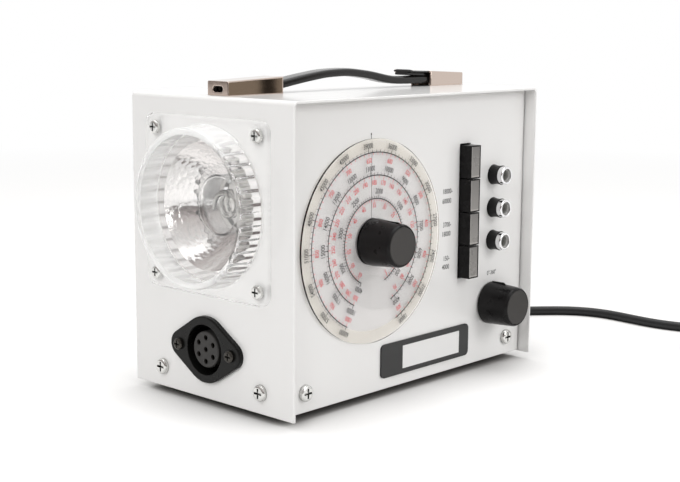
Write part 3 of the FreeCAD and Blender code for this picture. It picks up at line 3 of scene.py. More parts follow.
import bmesh
import bpy
import numpy as np
from mathutils import Matrix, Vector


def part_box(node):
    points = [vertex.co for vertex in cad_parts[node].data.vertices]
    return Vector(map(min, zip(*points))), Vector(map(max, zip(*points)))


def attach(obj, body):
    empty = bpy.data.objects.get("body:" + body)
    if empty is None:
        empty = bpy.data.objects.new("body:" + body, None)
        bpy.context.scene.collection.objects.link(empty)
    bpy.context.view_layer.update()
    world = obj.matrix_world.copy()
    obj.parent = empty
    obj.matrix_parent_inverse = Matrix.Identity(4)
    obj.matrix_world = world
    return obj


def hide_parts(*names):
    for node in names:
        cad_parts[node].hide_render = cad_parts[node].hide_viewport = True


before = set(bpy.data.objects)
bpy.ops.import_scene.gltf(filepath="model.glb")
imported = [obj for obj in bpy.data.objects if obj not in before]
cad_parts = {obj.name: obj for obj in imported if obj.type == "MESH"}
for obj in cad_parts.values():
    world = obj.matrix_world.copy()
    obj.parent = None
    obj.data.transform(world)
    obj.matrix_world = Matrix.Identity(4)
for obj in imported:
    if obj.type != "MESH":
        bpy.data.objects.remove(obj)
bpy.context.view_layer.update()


# Case: one steel sheet bent over the lamp face, the top and the rear, a tray below it and two
# side panels set back between them, all baked in white enamel. The enamel is a thick glossy
# coat, faintly rippled, that rounds every cut edge of the sheet.
def add(tree, kind, inputs=(), out=0, **settings):
    """The output out of a new shader node; inputs are pairs of a socket's name or number and its
    value or source."""
    made = tree.nodes.new("ShaderNode" + kind)
    for key, value in settings.items():
        setattr(made, key, value)
    for key, value in inputs:
        if isinstance(value, bpy.types.NodeSocket):
            tree.links.new(value, made.inputs[key])
        else:
            made.inputs[key].default_value = value
    return made.outputs[out]


def mixed(tree, share, first, second):
    """A colour that goes over from first to second as share goes from 0 to 1."""
    return add(tree, "Mix", [(0, share), (6, first), (7, second)], data_type="RGBA", out=2)


def ranged(tree, value, low, high, first=0.0, last=1.0):
    """Value carried in a straight line from low .. high to first .. last, and held past both."""
    return add(tree, "MapRange", [(0, value), (1, low), (2, high), (3, first), (4, last)])


def shaded(colour, share):
    """A colour made lighter or darker by a share of itself, as a shader takes it."""
    return tuple(min(1.0, part * share) for part in colour) + (1.0,)


def grained(name, colour, roughness, size, drift=0.05, spread=0.05, relief=0.0, edge=0.0,
            painted_shade_reach=0.0, stretch=(1, 1, 1), metallic=0.0, specular=0.5, sockets=()):
    """A finish with a soft drift of colour and roughness over about ten grains, and a fine
    relief whose grain size and height are in metres. edge rounds the look of cut edges by that
    radius, and painted_shade_reach paints shade into hollows of about that width by darkening the colour
    there."""
    material = bpy.data.materials.new(name)
    material.use_nodes = True
    tree = material.node_tree
    shader = tree.nodes["Principled BSDF"]
    place = add(tree, "TexCoord", out="Object")
    place = add(tree, "Mapping", [("Vector", place), ("Scale", stretch)])
    broad = add(tree, "TexNoise", [("Vector", place), ("Scale", 0.1 / size), ("Detail", 4.0)])
    fine = add(tree, "TexNoise", [("Vector", place), ("Scale", 1 / size), ("Detail", 2.0)])
    tone = mixed(tree, broad, shaded(colour, 1 - drift), shaded(colour, 1 + drift))
    # Painted shade: the colour is darkened wherever ambient occlusion finds a hollow.
    if painted_shade_reach:
        painted_shade_ao = add(tree, "AmbientOcclusion", [("Distance", painted_shade_reach)], samples=8, out="AO")
        tone = mixed(tree, ranged(tree, painted_shade_ao, 0.25, 0.8), shaded(colour, 0.12), tone)
    tree.links.new(tone, shader.inputs["Base Color"])
    rough = ranged(tree, broad, 0.3, 0.7, roughness - spread, roughness + spread)
    tree.links.new(rough, shader.inputs["Roughness"])
    bumps = [("Height", fine), ("Distance", relief)]
    if edge:
        bumps.append(("Normal", add(tree, "Bevel", [("Radius", edge)], samples=6)))
    tree.links.new(add(tree, "Bump", bumps), shader.inputs["Normal"])
    for key, value in [("Metallic", metallic), ("Specular IOR Level", specular), *sockets]:
        shader.inputs[key].default_value = value
    return material


def give(material, *names):
    """The finish of these solids."""
    for name in names:
        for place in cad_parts[name].material_slots:
            place.material = material


enamel = grained("white_enamel", (0.79, 0.783, 0.774), 0.34, 0.0030, drift=0.006, spread=0.02,
                 relief=4e-6, edge=0.0006, sockets=[("Coat Weight", 0.6), ("Coat Roughness", 0.10)])
give(enamel, "cover", "base_tray", "control_panel", "far_panel")


# Case screws: raised cross-recessed screws, zinc plated, that hold the cover and the panels.
# The plating is bright on the heads, and painted shade darkens it down in the recess.
zinc = grained("zinc_plate", (0.71, 0.71, 0.69), 0.25, 0.0005, drift=0.08, spread=0.08, relief=4e-6,
               edge=0.0002, painted_shade_reach=0.0022, metallic=1.0)
give(zinc, "cover_screws", "panel_screws", "lens_screws", "foot_screws", "handle_screws", "control_nuts",
     "board_standoffs")


# Feet: four turned rubber feet screwed through the tray, dull and a little dusty.
rubber = grained("black_rubber", (0.028, 0.027, 0.026), 0.72, 0.0005, drift=0.2, relief=3e-5,
                 edge=0.0004, specular=0.3)
give(rubber, "feet")


# Panel gap shade: a strip of black stands in the gap between each side panel and the rear wall
# as painted shade for the shadow in that gap, and shows from outside as a dark line.
def bar(low, high, draw=0.12):
    """A closed straight bar between two corners, its four long edges drawn in by a share of its
    thickness so that they catch the light as a soft edge does."""
    low, high = np.array(low, float), np.array(high, float)
    cut = draw * min(high[0] - low[0], high[1] - low[1])
    outline = np.array([[low[0] + cut, low[1]], [high[0] - cut, low[1]], [high[0], low[1] + cut],
                        [high[0], high[1] - cut], [high[0] - cut, high[1]], [low[0] + cut, high[1]],
                        [low[0], high[1] - cut], [low[0], low[1] + cut]])
    points = np.concatenate([np.column_stack([outline, np.full(8, z)]) for z in (low[2], high[2])])
    sides = [[i, (i + 1) % 8, 8 + (i + 1) % 8, 8 + i] for i in range(8)]
    return points, sides + [list(range(8))[::-1], list(range(8, 16))]


def grid_faces(rows, columns, closed=True):
    """Four-cornered faces that join a grid of points, stored row by row; each row of a closed
    one meets itself."""
    down = np.arange(rows - 1)[:, None] * columns
    across = np.arange(columns if closed else columns - 1)[None, :]
    beside = (across + 1) % columns
    corners = [down + across, down + beside, down + columns + beside, down + columns + across]
    return np.stack(np.broadcast_arrays(*corners), -1).reshape(-1, 4)


def joined(parts):
    """Several sets of points and faces as one set; the faces are lists of point numbers."""
    starts = np.cumsum([0] + [len(points) for points, faces in parts])
    return (np.concatenate([points for points, faces in parts]),
            [[corner + start for corner in face]
             for start, (points, faces) in zip(starts, parts) for face in faces])


def placed(name, data):
    """A new object that shows this data, put into the scene."""
    thing = bpy.data.objects.new(name, data)
    bpy.context.scene.collection.objects.link(thing)
    return thing


def piece(name, points, faces, material, body, slot, crisp=35):
    """A mesh of its own: doubles merged, faces turned outward, and the edges that bend by more
    than crisp degrees kept sharp, with broad faces shading flat up to their eased edges. It rides
    on body; slot is not used."""
    mesh = bpy.data.meshes.new(name)
    mesh.from_pydata(np.asarray(points, float).tolist(), [], [list(map(int, face)) for face in faces])
    work = bmesh.new()
    work.from_mesh(mesh)
    bmesh.ops.remove_doubles(work, verts=work.verts, dist=1e-7)
    bmesh.ops.dissolve_degenerate(work, edges=work.edges, dist=1e-8)
    bmesh.ops.recalc_face_normals(work, faces=work.faces)
    work.to_mesh(mesh)
    work.free()
    mesh.shade_smooth()
    mesh.set_sharp_from_angle(angle=math.radians(crisp))
    mesh.materials.append(material)
    thing = placed(name, mesh)
    flat = thing.modifiers.new("broad faces flat", "WEIGHTED_NORMAL")
    flat.keep_sharp, flat.weight = True, 90
    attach(thing, body)
    return thing


# Painted shade: a black finish for the strips that stand for the shadow in the panel gaps.
gap_shade_black = grained("painted_gap_shade", (0.012, 0.012, 0.012), 0.85, 0.0004, drift=0.25, relief=4e-5, specular=0.1)
gap_shade_strips = [bar((0.1078, -0.0486, 0.0052), (0.1089, -0.0475, 0.1703)),
          bar((0.1078, 0.0636, 0.0052), (0.1089, 0.0647, 0.1703))]
piece("panel_gap_shade", *joined(gap_shade_strips), gap_shade_black, "housing", "black_rubber")


# Electronics inside: a pale brown board on standoffs, a reservoir capacitor in a printed sleeve,
# a trigger coil, a laminated transformer with its winding, two wound controls and the key bank.
laminate = grained("board_laminate", (0.30, 0.17, 0.07), 0.45, 0.0007, drift=0.2, relief=1e-5,
                   edge=0.0002, stretch=(1, 4, 1))
iron = grained("stacked_iron", (0.10, 0.10, 0.105), 0.42, 0.0005, drift=0.3, relief=6e-5, edge=0.0003,
               stretch=(0.02, 1, 0.02), metallic=0.8)
copper = grained("enamelled_wire", (0.42, 0.15, 0.05), 0.35, 0.0006, drift=0.15, relief=0.00012,
                 stretch=(1, 0.03, 0.03), metallic=0.7)
sleeve = grained("can_sleeve", (0.05, 0.09, 0.20), 0.36, 0.0008, drift=0.08, relief=5e-6, edge=0.0004)
coil_shell = grained("coil_resin", (0.13, 0.035, 0.02), 0.38, 0.0008, drift=0.15, relief=1e-5,
                     edge=0.0005)
plain_plastic = grained("black_plastic", (0.022, 0.021, 0.021), 0.42, 0.0006, drift=0.15, relief=1.2e-5,
                        edge=0.0004, specular=0.35)
bright_steel = grained("bright_steel", (0.58, 0.575, 0.56), 0.30, 0.0006, drift=0.06, relief=4e-6,
                       edge=0.0003, metallic=1.0)
give(laminate, "circuit_board")
give(iron, "transformer_core")
give(copper, "transformer_winding")
give(sleeve, "storage_capacitor")
give(coil_shell, "trigger_coil")
give(plain_plastic, "frequency_control", "phase_control", "key_bank", "lamp_holder")
give(bright_steel, "lamp_bracket", "dial_shaft", "phase_shaft")


# Lamp base: a pale ceramic plug that carries the glass and the tube, pressed into its holder.
# Fired and unglazed, so it is dull and slightly speckled.
ceramic = grained("lamp_ceramic", (0.78, 0.765, 0.745), 0.55, 0.0006, drift=0.07, relief=2e-5,
                  edge=0.0004)
give(ceramic, "lamp_base")


# Flash tube: a quartz tube wound into three turns, with its ends drawn straight. It is a round
# wall carried along a helix round the lamp's axis.
case_x, case_y, case_z = -0.1026, -0.05695, 0.0042
lamp_y, lamp_z = case_y + 0.065, case_z + 0.1082


def full_turn(count):
    """Angles once round, in equal steps."""
    return np.linspace(0, 2 * math.pi, count, endpoint=False)


def tube(line, radius, sides=20):
    """A round wall along a line of points: each ring stands square to the line's direction, on two
    arms found by carrying the lamp axis along it. Both ends close on their middle points."""
    line = np.asarray(line, float)
    along = np.gradient(line, axis=0)
    along /= np.linalg.norm(along, axis=1, keepdims=True)
    first = np.cross(along, (1.0, 0.0, 0.0))
    first /= np.linalg.norm(first, axis=1, keepdims=True)
    second = np.cross(along, first)
    turn = full_turn(sides)[None, :, None]
    rings = line[:, None] + radius * (np.cos(turn) * first[:, None] + np.sin(turn) * second[:, None])
    ends = [np.repeat(line[i][None, None], sides, 1) for i in (0, -1)]
    rings = np.concatenate([ends[0], rings, ends[1]])
    return rings.reshape(-1, 3), grid_faces(len(rings), sides)


def clear(name, colour, ior, roughness, through=1.0, specular=0.5):
    """A clear solid: that share of the light goes through it and bends, and its roughness drifts
    faintly, as handling leaves it."""
    material = grained(name, colour, roughness, 0.002, drift=0.01, spread=min(0.02, roughness),
                       relief=1.5e-6, specular=specular)
    shader = material.node_tree.nodes["Principled BSDF"]
    shader.inputs["Transmission Weight"].default_value = through
    shader.inputs["IOR"].default_value = ior
    return material


def lets_light_by(thing):
    """Light reaches what lies behind a clear piece, as it does in the real one."""
    thing.visible_shadow = False
    thing.visible_diffuse = False


quartz = clear("frosted_quartz", (0.97, 0.965, 0.955), 1.46, 0.12)
helix_turns, helix_pitch, helix_radius = 3, 0.0044, 0.0065
tube_turns = np.linspace(0, helix_turns, 145)
tube_angle = 2 * math.pi * tube_turns
tube_line = np.stack([case_x + 0.025 - helix_pitch * (helix_turns - tube_turns),
                      lamp_y + helix_radius * np.cos(tube_angle),
                      lamp_z + helix_radius * np.sin(tube_angle)], 1)
tube_ends = [tube_line[0] + (tube_line[0] - tube_line[1]) * k for k in (4, 2)]
tube_tail = [tube_line[-1] + (tube_line[-1] - tube_line[-2]) * k for k in (2, 4)]
flash_tube = piece("flash_tube_quartz", *tube(np.concatenate([tube_ends, tube_line, tube_tail]), 0.0017),
                   quartz, "housing", "lamp_glass")
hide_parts("flash_tube")
lets_light_by(flash_tube)


# Lamp glass: a blown envelope over the tube, a straight wall with a low dome at its front,
# open into the ceramic base. Its rim is fire-rounded, which shows as a bright ring.
panel_y = case_y + 0.0078


def turned(profile, axis=None, sides=128):
    """Surface of revolution: profile gives places along the axis and radii in metres. The axis is
    the lamp's, or the (x, z) place of a line square to the control panel, along which places
    count outward from the panel."""
    along, radius = np.asarray(profile, float).T[:, :, None]
    across, up = radius * np.cos(full_turn(sides)), radius * np.sin(full_turn(sides))
    if axis is None:
        places = case_x + along, lamp_y + across, lamp_z + up
    else:
        places = axis[0] + across, panel_y - along, axis[1] + up
    return np.stack(np.broadcast_arrays(*places), -1).reshape(-1, 3), grid_faces(len(along), sides)


def eased(corners, steps=5):
    """A profile whose corners are rounded: each corner is (along, radius, round), and the curve
    leaves the one side and meets the next at round from the corner, as a quadratic blend."""
    corners = [np.array(c, float) for c in corners]
    out = [corners[0][:2]]
    for before, here, after in zip(corners, corners[1:], corners[2:]):
        into, away = before[:2] - here[:2], after[:2] - here[:2]
        reach = min(here[2], 0.48 * np.linalg.norm(into), 0.48 * np.linalg.norm(away))
        start = here[:2] + into / np.linalg.norm(into) * reach
        end = here[:2] + away / np.linalg.norm(away) * reach
        share = np.linspace(0, 1, steps)[:, None]
        out.extend((1 - share) ** 2 * start + 2 * share * (1 - share) * here[:2] + share ** 2 * end)
    out.append(corners[-1][:2])
    return np.array(out)


def dome(radius, front, rise, count=18):
    """Profile of a shallow dome: a slice of a sphere that reaches its radius after its rise."""
    sphere = (radius ** 2 + rise ** 2) / (2 * rise)
    angle = np.linspace(0, math.asin(radius / sphere), count)
    return np.stack([front + sphere * (1 - np.cos(angle)), sphere * np.sin(angle)], 1)


glass = clear("lamp_glass", (0.99, 0.992, 0.99), 1.5, 0.01)
glass_profile = np.concatenate([dome(0.017, 0.003, 0.005), [[0.0299, 0.017], [0.03, 0.0168], [0.03, 0.016]],
                                dome(0.0158, 0.0042, 0.0047)[::-1]])
lamp_glass = piece("lamp_envelope", *turned(glass_profile), glass, "housing", "lamp_glass", crisp=60)
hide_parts("lamp_glass")
lets_light_by(lamp_glass)


# Reflector: a spun aluminium bowl, polished, its inside hammered all over with shallow round
# dimples, on a flat flange that lies on the lamp face.
def bowl_line(start, middle, end, count):
    """Arc of a circle through three (along, radius) points, from the first to the last."""
    ax, ay, bx, by, cx, cy = *start, *middle, *end
    d = 2 * (ax * (by - cy) + bx * (cy - ay) + cx * (ay - by))
    ux = ((ax**2 + ay**2) * (by - cy) + (bx**2 + by**2) * (cy - ay) + (cx**2 + cy**2) * (ay - by)) / d
    uy = ((ax**2 + ay**2) * (cx - bx) + (bx**2 + by**2) * (ax - cx) + (cx**2 + cy**2) * (bx - ax)) / d
    a0, a2 = math.atan2(ay - uy, ax - ux), math.atan2(cy - uy, cx - ux)
    angle = np.linspace(a0, a0 + (a2 - a0 + math.pi) % (2 * math.pi) - math.pi, count)
    reach = math.hypot(ax - ux, ay - uy)
    return np.stack([ux + reach * np.cos(angle), uy + reach * np.sin(angle)], 1)


def hammered(profile, sides, spacing, depth, first, last):
    """The turned surface of a profile, beaten between rows first and last: every point sinks by
    depth x (1 - (distance / spacing)^2) to its nearest hammer blow, along the surface's normal.
    The blows lie on a seeded, loose grid over the length of the profile and the turn."""
    along, radius = profile.T
    run = np.concatenate([[0], np.cumsum(np.hypot(np.diff(along), np.diff(radius)))])
    turn = full_turn(sides)
    dice = np.random.default_rng(11)
    blows = []
    for level in np.arange(run[first], run[last], spacing * 0.86):
        ring = np.interp(level, run, radius)
        count = max(8, int(2 * math.pi * ring / spacing))
        angle = (np.arange(count) + dice.uniform(-0.45, 0.45, count) + dice.uniform()) * 2 * math.pi / count
        height = level + dice.uniform(-0.5, 0.5, count) * spacing
        blows.append(np.stack([height, ring * np.cos(angle), ring * np.sin(angle)], 1))
    blows = np.concatenate(blows)
    nearest = []
    for place, ring in zip(run, radius):
        row = np.stack([np.full(sides, place), ring * np.cos(turn), ring * np.sin(turn)], 1)
        nearest.append(np.sqrt(((row[:, None] - blows[None]) ** 2).sum(-1)).min(1))
    ends = np.clip(np.minimum(run - run[first], run[last] - run) / spacing, 0, 1)[:, None]
    sink = depth * np.clip(1 - (np.stack(nearest) / spacing / 0.72) ** 2, 0, 1) * ends
    slope = np.stack([np.gradient(along), np.gradient(radius)], 1)
    slope /= np.linalg.norm(slope, axis=1, keepdims=True)
    along = along[:, None] - sink * slope[:, 1:]
    radius = radius[:, None] + sink * slope[:, :1]
    points = np.stack([case_x + along, lamp_y + radius * np.cos(turn), lamp_z + radius * np.sin(turn)], -1)
    return points.reshape(-1, 3), grid_faces(len(profile), sides)


mirror = grained("spun_aluminium", (0.90, 0.885, 0.88), 0.13, 0.0012, drift=0.03, spread=0.05,
                 relief=4e-6, metallic=1.0)
bowl_rim, bowl_neck, bowl_curve = 0.0355, 0.0178, (0.0102, 0.0288)
bowl_wall, bowl_flange = 0.0008, 0.0415
bowl_inside = bowl_line((-0.001, bowl_rim), bowl_curve, (0.023, bowl_neck), 120)
bowl_outside = bowl_line((0.0238, bowl_neck + bowl_wall), (bowl_curve[0] + 0.0005, bowl_curve[1] + 0.0009),
                         (0.0, bowl_rim + bowl_wall), 30)
bowl_profile = np.concatenate([
    [[0, bowl_flange], [-0.0008, bowl_flange], [-0.001, 0.0413], [-0.001, 0.0385], [-0.001, 0.0362]],
    bowl_inside, [[0.027, bowl_neck], [0.027, bowl_neck + bowl_wall]], bowl_outside, [[0, bowl_flange]]])
reflector = piece("reflector_bowl", *hammered(bowl_profile, 384, 0.0034, 0.00009, 5, 124), mirror,
                  "housing", "reflector_metal", crisp=50)
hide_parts("reflector")


# Lamp window: one clear acrylic moulding, a square flange with a raised rim and a drum closed at
# its front, ribbed inside all the way round and held by four screws. The front is clear, the ribs
# blur what is behind them, and the flange shines.
def square_reach(turn, half, corner):
    """Distance from the middle to a square with rounded corners, in the direction of turn."""
    c, s = np.abs(np.cos(turn)), np.abs(np.sin(turn))
    inner = half - corner
    side = half / np.maximum(c, s)
    b = inner * (c + s)
    round_part = b + np.sqrt(np.maximum(b * b - 2 * inner * inner + corner * corner, 0))
    return np.where((side * c > inner) & (side * s > inner), round_part, side)


ribs_round, points_per_rib = 36, 14
window_turn = (np.arange(ribs_round * points_per_rib) + 0.5) * 2 * math.pi / (ribs_round * points_per_rib)
rib = np.clip(1.6 * (0.5 + 0.5 * np.cos(ribs_round * window_turn)) - 0.3, 0, 1)


def window_ring(along, reach, inset=0.0, ribs=0.0):
    """One ring of the moulding, in millimetres, at a place along the lamp's axis: reach is a
    radius, or the half width of the rounded square when it is over 45, drawn in by inset; ribs
    stand that high off the wall, towards the axis when negative."""
    if reach > 45:
        radius = square_reach(window_turn, (reach - inset) / 1000, (7 - inset) / 1000)
    else:
        radius = np.full_like(window_turn, (reach - inset) / 1000) + ribs / 1000 * rib
    return np.stack([np.full_like(radius, case_x - along / 1000), lamp_y + radius * np.cos(window_turn),
                     lamp_z + radius * np.sin(window_turn)], 1)


window_rings = [window_ring(*ring) for ring in [
    (14.5, 0), (14.5, 30), (14.5, 40), (14.3, 41, 0, -0.2), (13.5, 41.6, 0, -1.1),
    *[(along, 42.5 - along / 14.5, 0, -1.1) for along in (10, 7, 4)],
    (1.5, 42.4, 0, -1.1), (0.6, 42.5, 0, -0.3), (0.2, 42.7), (0.2, 44.9), (0.2, 49, 0.6),
    (0.35, 49, 0.18), (0.7, 49), (2.9, 49), (3.3, 49, 0.18), (3.5, 49, 0.6), (3.5, 49, 1.8),
    (3.3, 49, 2.2), (2.7, 49, 2.5), (2.5, 49, 3), (2.5, 45), (2.9, 44.6), (3.5, 44.45), (9, 44),
    (14.8, 43.62), (15.7, 43.4), (16.2, 43.05), (16.5, 42.5), (16.5, 41.2), (16.25, 40.6),
    (16.2, 40), (16.2, 20), (16.2, 0)]]
acrylic_tint = (0.985, 0.985, 0.982)
acrylic = clear("clear_acrylic", acrylic_tint, 1.42, 0.02)
window = piece("lamp_window", np.concatenate(window_rings), grid_faces(len(window_rings), len(window_turn)),
               acrylic, "housing", "clear_plastic", crisp=40)
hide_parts("lens_cover")


def place_parts(tree):
    """The outputs X, Y and Z of the place on the piece."""
    return add(tree, "SeparateXYZ", [(0, add(tree, "TexCoord", out="Object"))]).node.outputs


flange = clear("flange_acrylic", acrylic_tint, 1.16, 0.03, through=0.82, specular=1.0)
window.data.materials.append(flange)
ribbed = clear("ribbed_acrylic", acrylic_tint, 1.42, 0.05)
tree = ribbed.node_tree
haze = ranged(tree, place_parts(tree)["Y"], lamp_y - 0.036, lamp_y - 0.018, 1.0, 0.62)
tree.links.new(haze, tree.nodes["Principled BSDF"].inputs["Transmission Weight"])
window.data.materials.append(ribbed)
middles = np.empty(len(window.data.polygons) * 3)
window.data.polygons.foreach_get("center", middles)
middles = middles.reshape(-1, 3)
reach = np.hypot(middles[:, 1] - lamp_y, middles[:, 2] - lamp_z)
finish_number = np.select([reach > 0.0449, reach > 0.0402], [1, 2], 0).astype(np.int32)
window.data.polygons.foreach_set("material_index", finish_number)
lets_light_by(window)


# Lamp socket under the window: a black moulded body with two eared ends, a grey insert and a ring
# of sprung contacts, for a lamp on a lead.
glossy_black = grained("gloss_black", (0.0055, 0.0055, 0.005), 0.30, 0.0009, drift=0.1, relief=6e-6,
                       edge=0.0006, specular=0.17)
grey_insert = grained("grey_insert", (0.37, 0.365, 0.352), 0.45, 0.0006, drift=0.06, relief=8e-6,
                      edge=0.0004)
socket_grey = grained("socket_grey", (0.030, 0.0285, 0.027), 0.42, 0.0006, drift=0.08, relief=8e-6,
                      edge=0.0004, specular=0.3)
# Painted shade: the contacts and the blackened screws are darkened in their hollows.
contact_metal = grained("contact_metal", (0.045, 0.038, 0.028), 0.4, 0.0005, drift=0.15, relief=3e-6,
                        edge=0.0002, painted_shade_reach=0.002, metallic=1.0)
black_screw = grained("blackened_screw", (0.06, 0.056, 0.05), 0.3, 0.0005, drift=0.2, relief=4e-6,
                      edge=0.0003, painted_shade_reach=0.0015, metallic=0.9)
give(glossy_black, "socket_body")
give(socket_grey, "socket_insert")
give(contact_metal, "socket_contacts")
give(black_screw, "socket_screws")


# Control panel print: the range figures beside the keys, the span of the phase knob and the
# hairline that the dial turns over, screened in black ink on the enamel.
print_thick = 0.00004


def figures(text, height, squeeze=0.80):
    """A line of figures as closed mesh outlines, centred on the origin: x across, z up, and their
    faces towards -y. Height is that of the figures, and squeeze their width beside the font's."""
    words = bpy.data.curves.new("figures", "FONT")
    words.body, words.size, words.resolution_u = text, 1.0, 3
    words.align_x, words.extrude, words.offset = "CENTER", 0.5, 0.008
    holder = placed("figures", words)
    bpy.context.view_layer.update()
    mesh = bpy.data.meshes.new_from_object(holder.evaluated_get(bpy.context.evaluated_depsgraph_get()))
    points = np.empty(len(mesh.vertices) * 3)
    mesh.vertices.foreach_get("co", points)
    points = points.reshape(-1, 3)
    faces = [list(face.vertices) for face in mesh.polygons]
    bpy.data.objects.remove(holder)
    bpy.data.meshes.remove(mesh)
    font_height = 0.70
    scale = height / font_height
    flat = np.stack([points[:, 0] * scale * squeeze, -points[:, 2] * print_thick,
                     (points[:, 1] - font_height / 2) * scale], 1)
    return flat, faces


def strip(x0, z0, x1, z1, wide, y):
    """A flat printed line between two points of the panel, as a thin closed bar."""
    along = np.array([x1 - x0, 0, z1 - z0], float)
    along /= np.linalg.norm(along)
    side = np.array([-along[2], 0, along[0]]) * wide / 2
    low = np.array([[x0, y, z0], [x1, y, z1]])
    flat = np.stack([low[0] - side, low[1] - side, low[1] + side, low[0] + side])
    points = np.concatenate([flat + (0, print_thick / 2, 0), flat - (0, print_thick / 2, 0)])
    return points, [[0, 3, 2, 1], [4, 5, 6, 7], [0, 1, 5, 4], [1, 2, 6, 5], [2, 3, 7, 6], [3, 0, 4, 7]]


ink_y = panel_y - 0.00003
hair_x = case_x + 0.0677
black_ink = grained("black_ink", (0.018, 0.017, 0.018), 0.5, 0.0004, drift=0.2, relief=3e-6)
panel_print = [strip(hair_x, case_z + 0.0995, hair_x, case_z + 0.1462, 0.00045, ink_y),
               strip(hair_x, case_z + 0.1464, hair_x, case_z + 0.1478, 0.0008, ink_y)]
for text, x, z, height in [("18000-", 0.1356, 0.1097, 0.0029), ("60000", 0.1350, 0.1040, 0.0029),
                           ("3700-", 0.1356, 0.0899, 0.0029), ("18000", 0.1350, 0.0844, 0.0029),
                           ("150-", 0.1356, 0.0697, 0.0029), ("4000", 0.1350, 0.0646, 0.0029),
                           ("0°-360°", 0.1807, 0.0552, 0.0026)]:
    points, faces = figures(text, height)
    panel_print.append((points + (case_x + x, ink_y, case_z + z), faces))
piece("panel_figures", *joined(panel_print), black_ink, "housing", "plate_black")


# Dial disc: a clear acrylic disc, 114 mm across, fixed to the main knob and turning before the
# panel. Its back is screened: a cream band outside the scale, and a thin pale veil within.
def ring_profile(inner, outer, back, front, round_off):
    """Closed outline of a flat ring with eased outer and inner edges, as (along, radius)."""
    middle = (back, (inner + outer) / 2, 0)
    return eased([middle, (back, outer, round_off), (front, outer, round_off), (front, inner, round_off),
                  (back, inner, round_off), middle], 4)


dial_axis = (case_x + 0.0675, case_z + 0.0879)
disc_plastic = clear("dial_acrylic", (0.99, 0.985, 0.975), 1.3, 0.03)
disc_profile = ring_profile(0.0088, 0.0571, 0.00165, 0.00315, 0.0003)
dial_disc = piece("dial_disc_clear", *turned(disc_profile, dial_axis, 256), disc_plastic, "dial",
                  "dial_plastic")
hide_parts("dial_disc")
lets_light_by(dial_disc)
for name, finish, tint, cover, inner, outer in [
        ("dial_band", "cream_band", (0.90, 0.86, 0.79), 0.36, 0.0499, 0.0568),
        ("dial_veil", "pale_veil", (0.88, 0.86, 0.87), 0.2, 0.0134, 0.0498)]:
    ink = grained(finish, tint, 0.5, 0.0012, drift=0.03, relief=3e-6, sockets=[("Alpha", cover)])
    layer = turned(ring_profile(inner, outer, 0.00156, 0.00161, 0.00001), dial_axis, 192)
    piece(name, *layer, ink, "dial", "dial_plastic")


# Dial scales: three arcs of flashes a minute in black, each with flashes a second in red on its
# inner side, printed with tops outward and rising to the left.
# Each scale: arc radius, first and last value and their angles left of the top, the bow of the
# scale between them, the arc's own ends, the values between labels and between ticks.
dial_scales = [
    (0.0496, 18000, 60000, -151.7, 153.2, 21.4, -157.8, 154.3, 3000, 500, 300, 1000, 50, 10, 0.0535, 0.0455),
    (0.0370, 4000, 18000, -151.7, 153.2, 18.6, -157.3, 154.4, 1000, 200, 70, 300, 10, 5, 0.0409, 0.0330),
    (0.0241, 500, 4000, -134.2, 153.9, 13.5, -158.7, 154.6, 500, 50, 5, 65, 5, 1, 0.0282, 0.0206),
]
dial_ink_y = panel_y - 0.00317


def on_dial(points, angle, radius):
    """Points of a mark drawn about the origin, stood upright at that radius and turned left of the
    top by angle degrees round the dial's middle."""
    a = math.radians(angle)
    x = points[:, 0] * math.cos(a) - (points[:, 2] + radius) * math.sin(a)
    z = points[:, 0] * math.sin(a) + (points[:, 2] + radius) * math.cos(a)
    return np.stack([dial_axis[0] + x, points[:, 1] + dial_ink_y, dial_axis[1] + z], 1)


def capped(x, y, z):
    """A closed bar from the places of its points, each row going once round its section, with a
    flat face at each end."""
    points = np.stack(np.broadcast_arrays(x, y, z), -1)
    rows, columns = points.shape[:2]
    last = (rows - 1) * columns
    ends = [list(range(columns))[::-1], list(range(last, last + columns))]
    return points.reshape(-1, 3), grid_faces(rows, columns).tolist() + ends


def arc_line(radius, wide, start, end):
    """A printed arc as a flat closed band from start to end degrees left of the top."""
    angle = np.radians(np.linspace(start, end, 160))[:, None]
    reach = radius + wide / 2 * np.array([-1, 1, 1, -1])
    depth = dial_ink_y + print_thick / 2 * np.array([1, 1, -1, -1])
    return capped(dial_axis[0] - reach * np.sin(angle), depth, dial_axis[1] + reach * np.cos(angle))


black_marks, red_marks = [], []
for (radius, low, high, low_angle, high_angle, bow, start, end, label, tick,
     red_low, red_high, red_label, red_tick, label_radius, red_radius) in dial_scales:
    def scale_angle(value):
        share = (value - low) / (high - low)
        return low_angle + (high_angle - low_angle) * share + bow * share * (1 - share)

    black_marks.append(arc_line(radius, 0.00055, start, end))
    for marks, unit, first, last, label, tick, long_tick, short_tick, foot, figure_size, reach in [
            (black_marks, 1, low, high, label, tick, (0, 0.0022, 0.00042), (0, 0.0015, 0.00032),
             radius, 0.0029, label_radius),
            (red_marks, 60, red_low, red_high, red_label, red_tick, (-0.0018, 0, 0.0003),
             (-0.0012, 0, 0.0003), radius - 0.0003, 0.0027, red_radius)]:
        for value in np.arange(math.ceil(first * 0.3 / tick) * tick, last + tick / 2, tick):
            if start <= scale_angle(value * unit) <= end + 0.5:
                inner, outer, wide = short_tick if value % label else long_tick
                points, faces = strip(0, inner, 0, outer, wide, 0)
                marks.append((on_dial(points, scale_angle(value * unit), foot), faces))
        for value in range(first, last + 1, label):
            points, faces = figures(str(value), figure_size, 0.74)
            marks.append((on_dial(points, scale_angle(value * unit), reach), faces))
red_ink = grained("red_ink", (0.60, 0.055, 0.06), 0.5, 0.0004, drift=0.1, relief=3e-6)
piece("dial_black_print", *joined(black_marks), black_ink, "dial", "plate_black")
piece("dial_red_print", *joined(red_marks), red_ink, "dial", "dial_plastic")


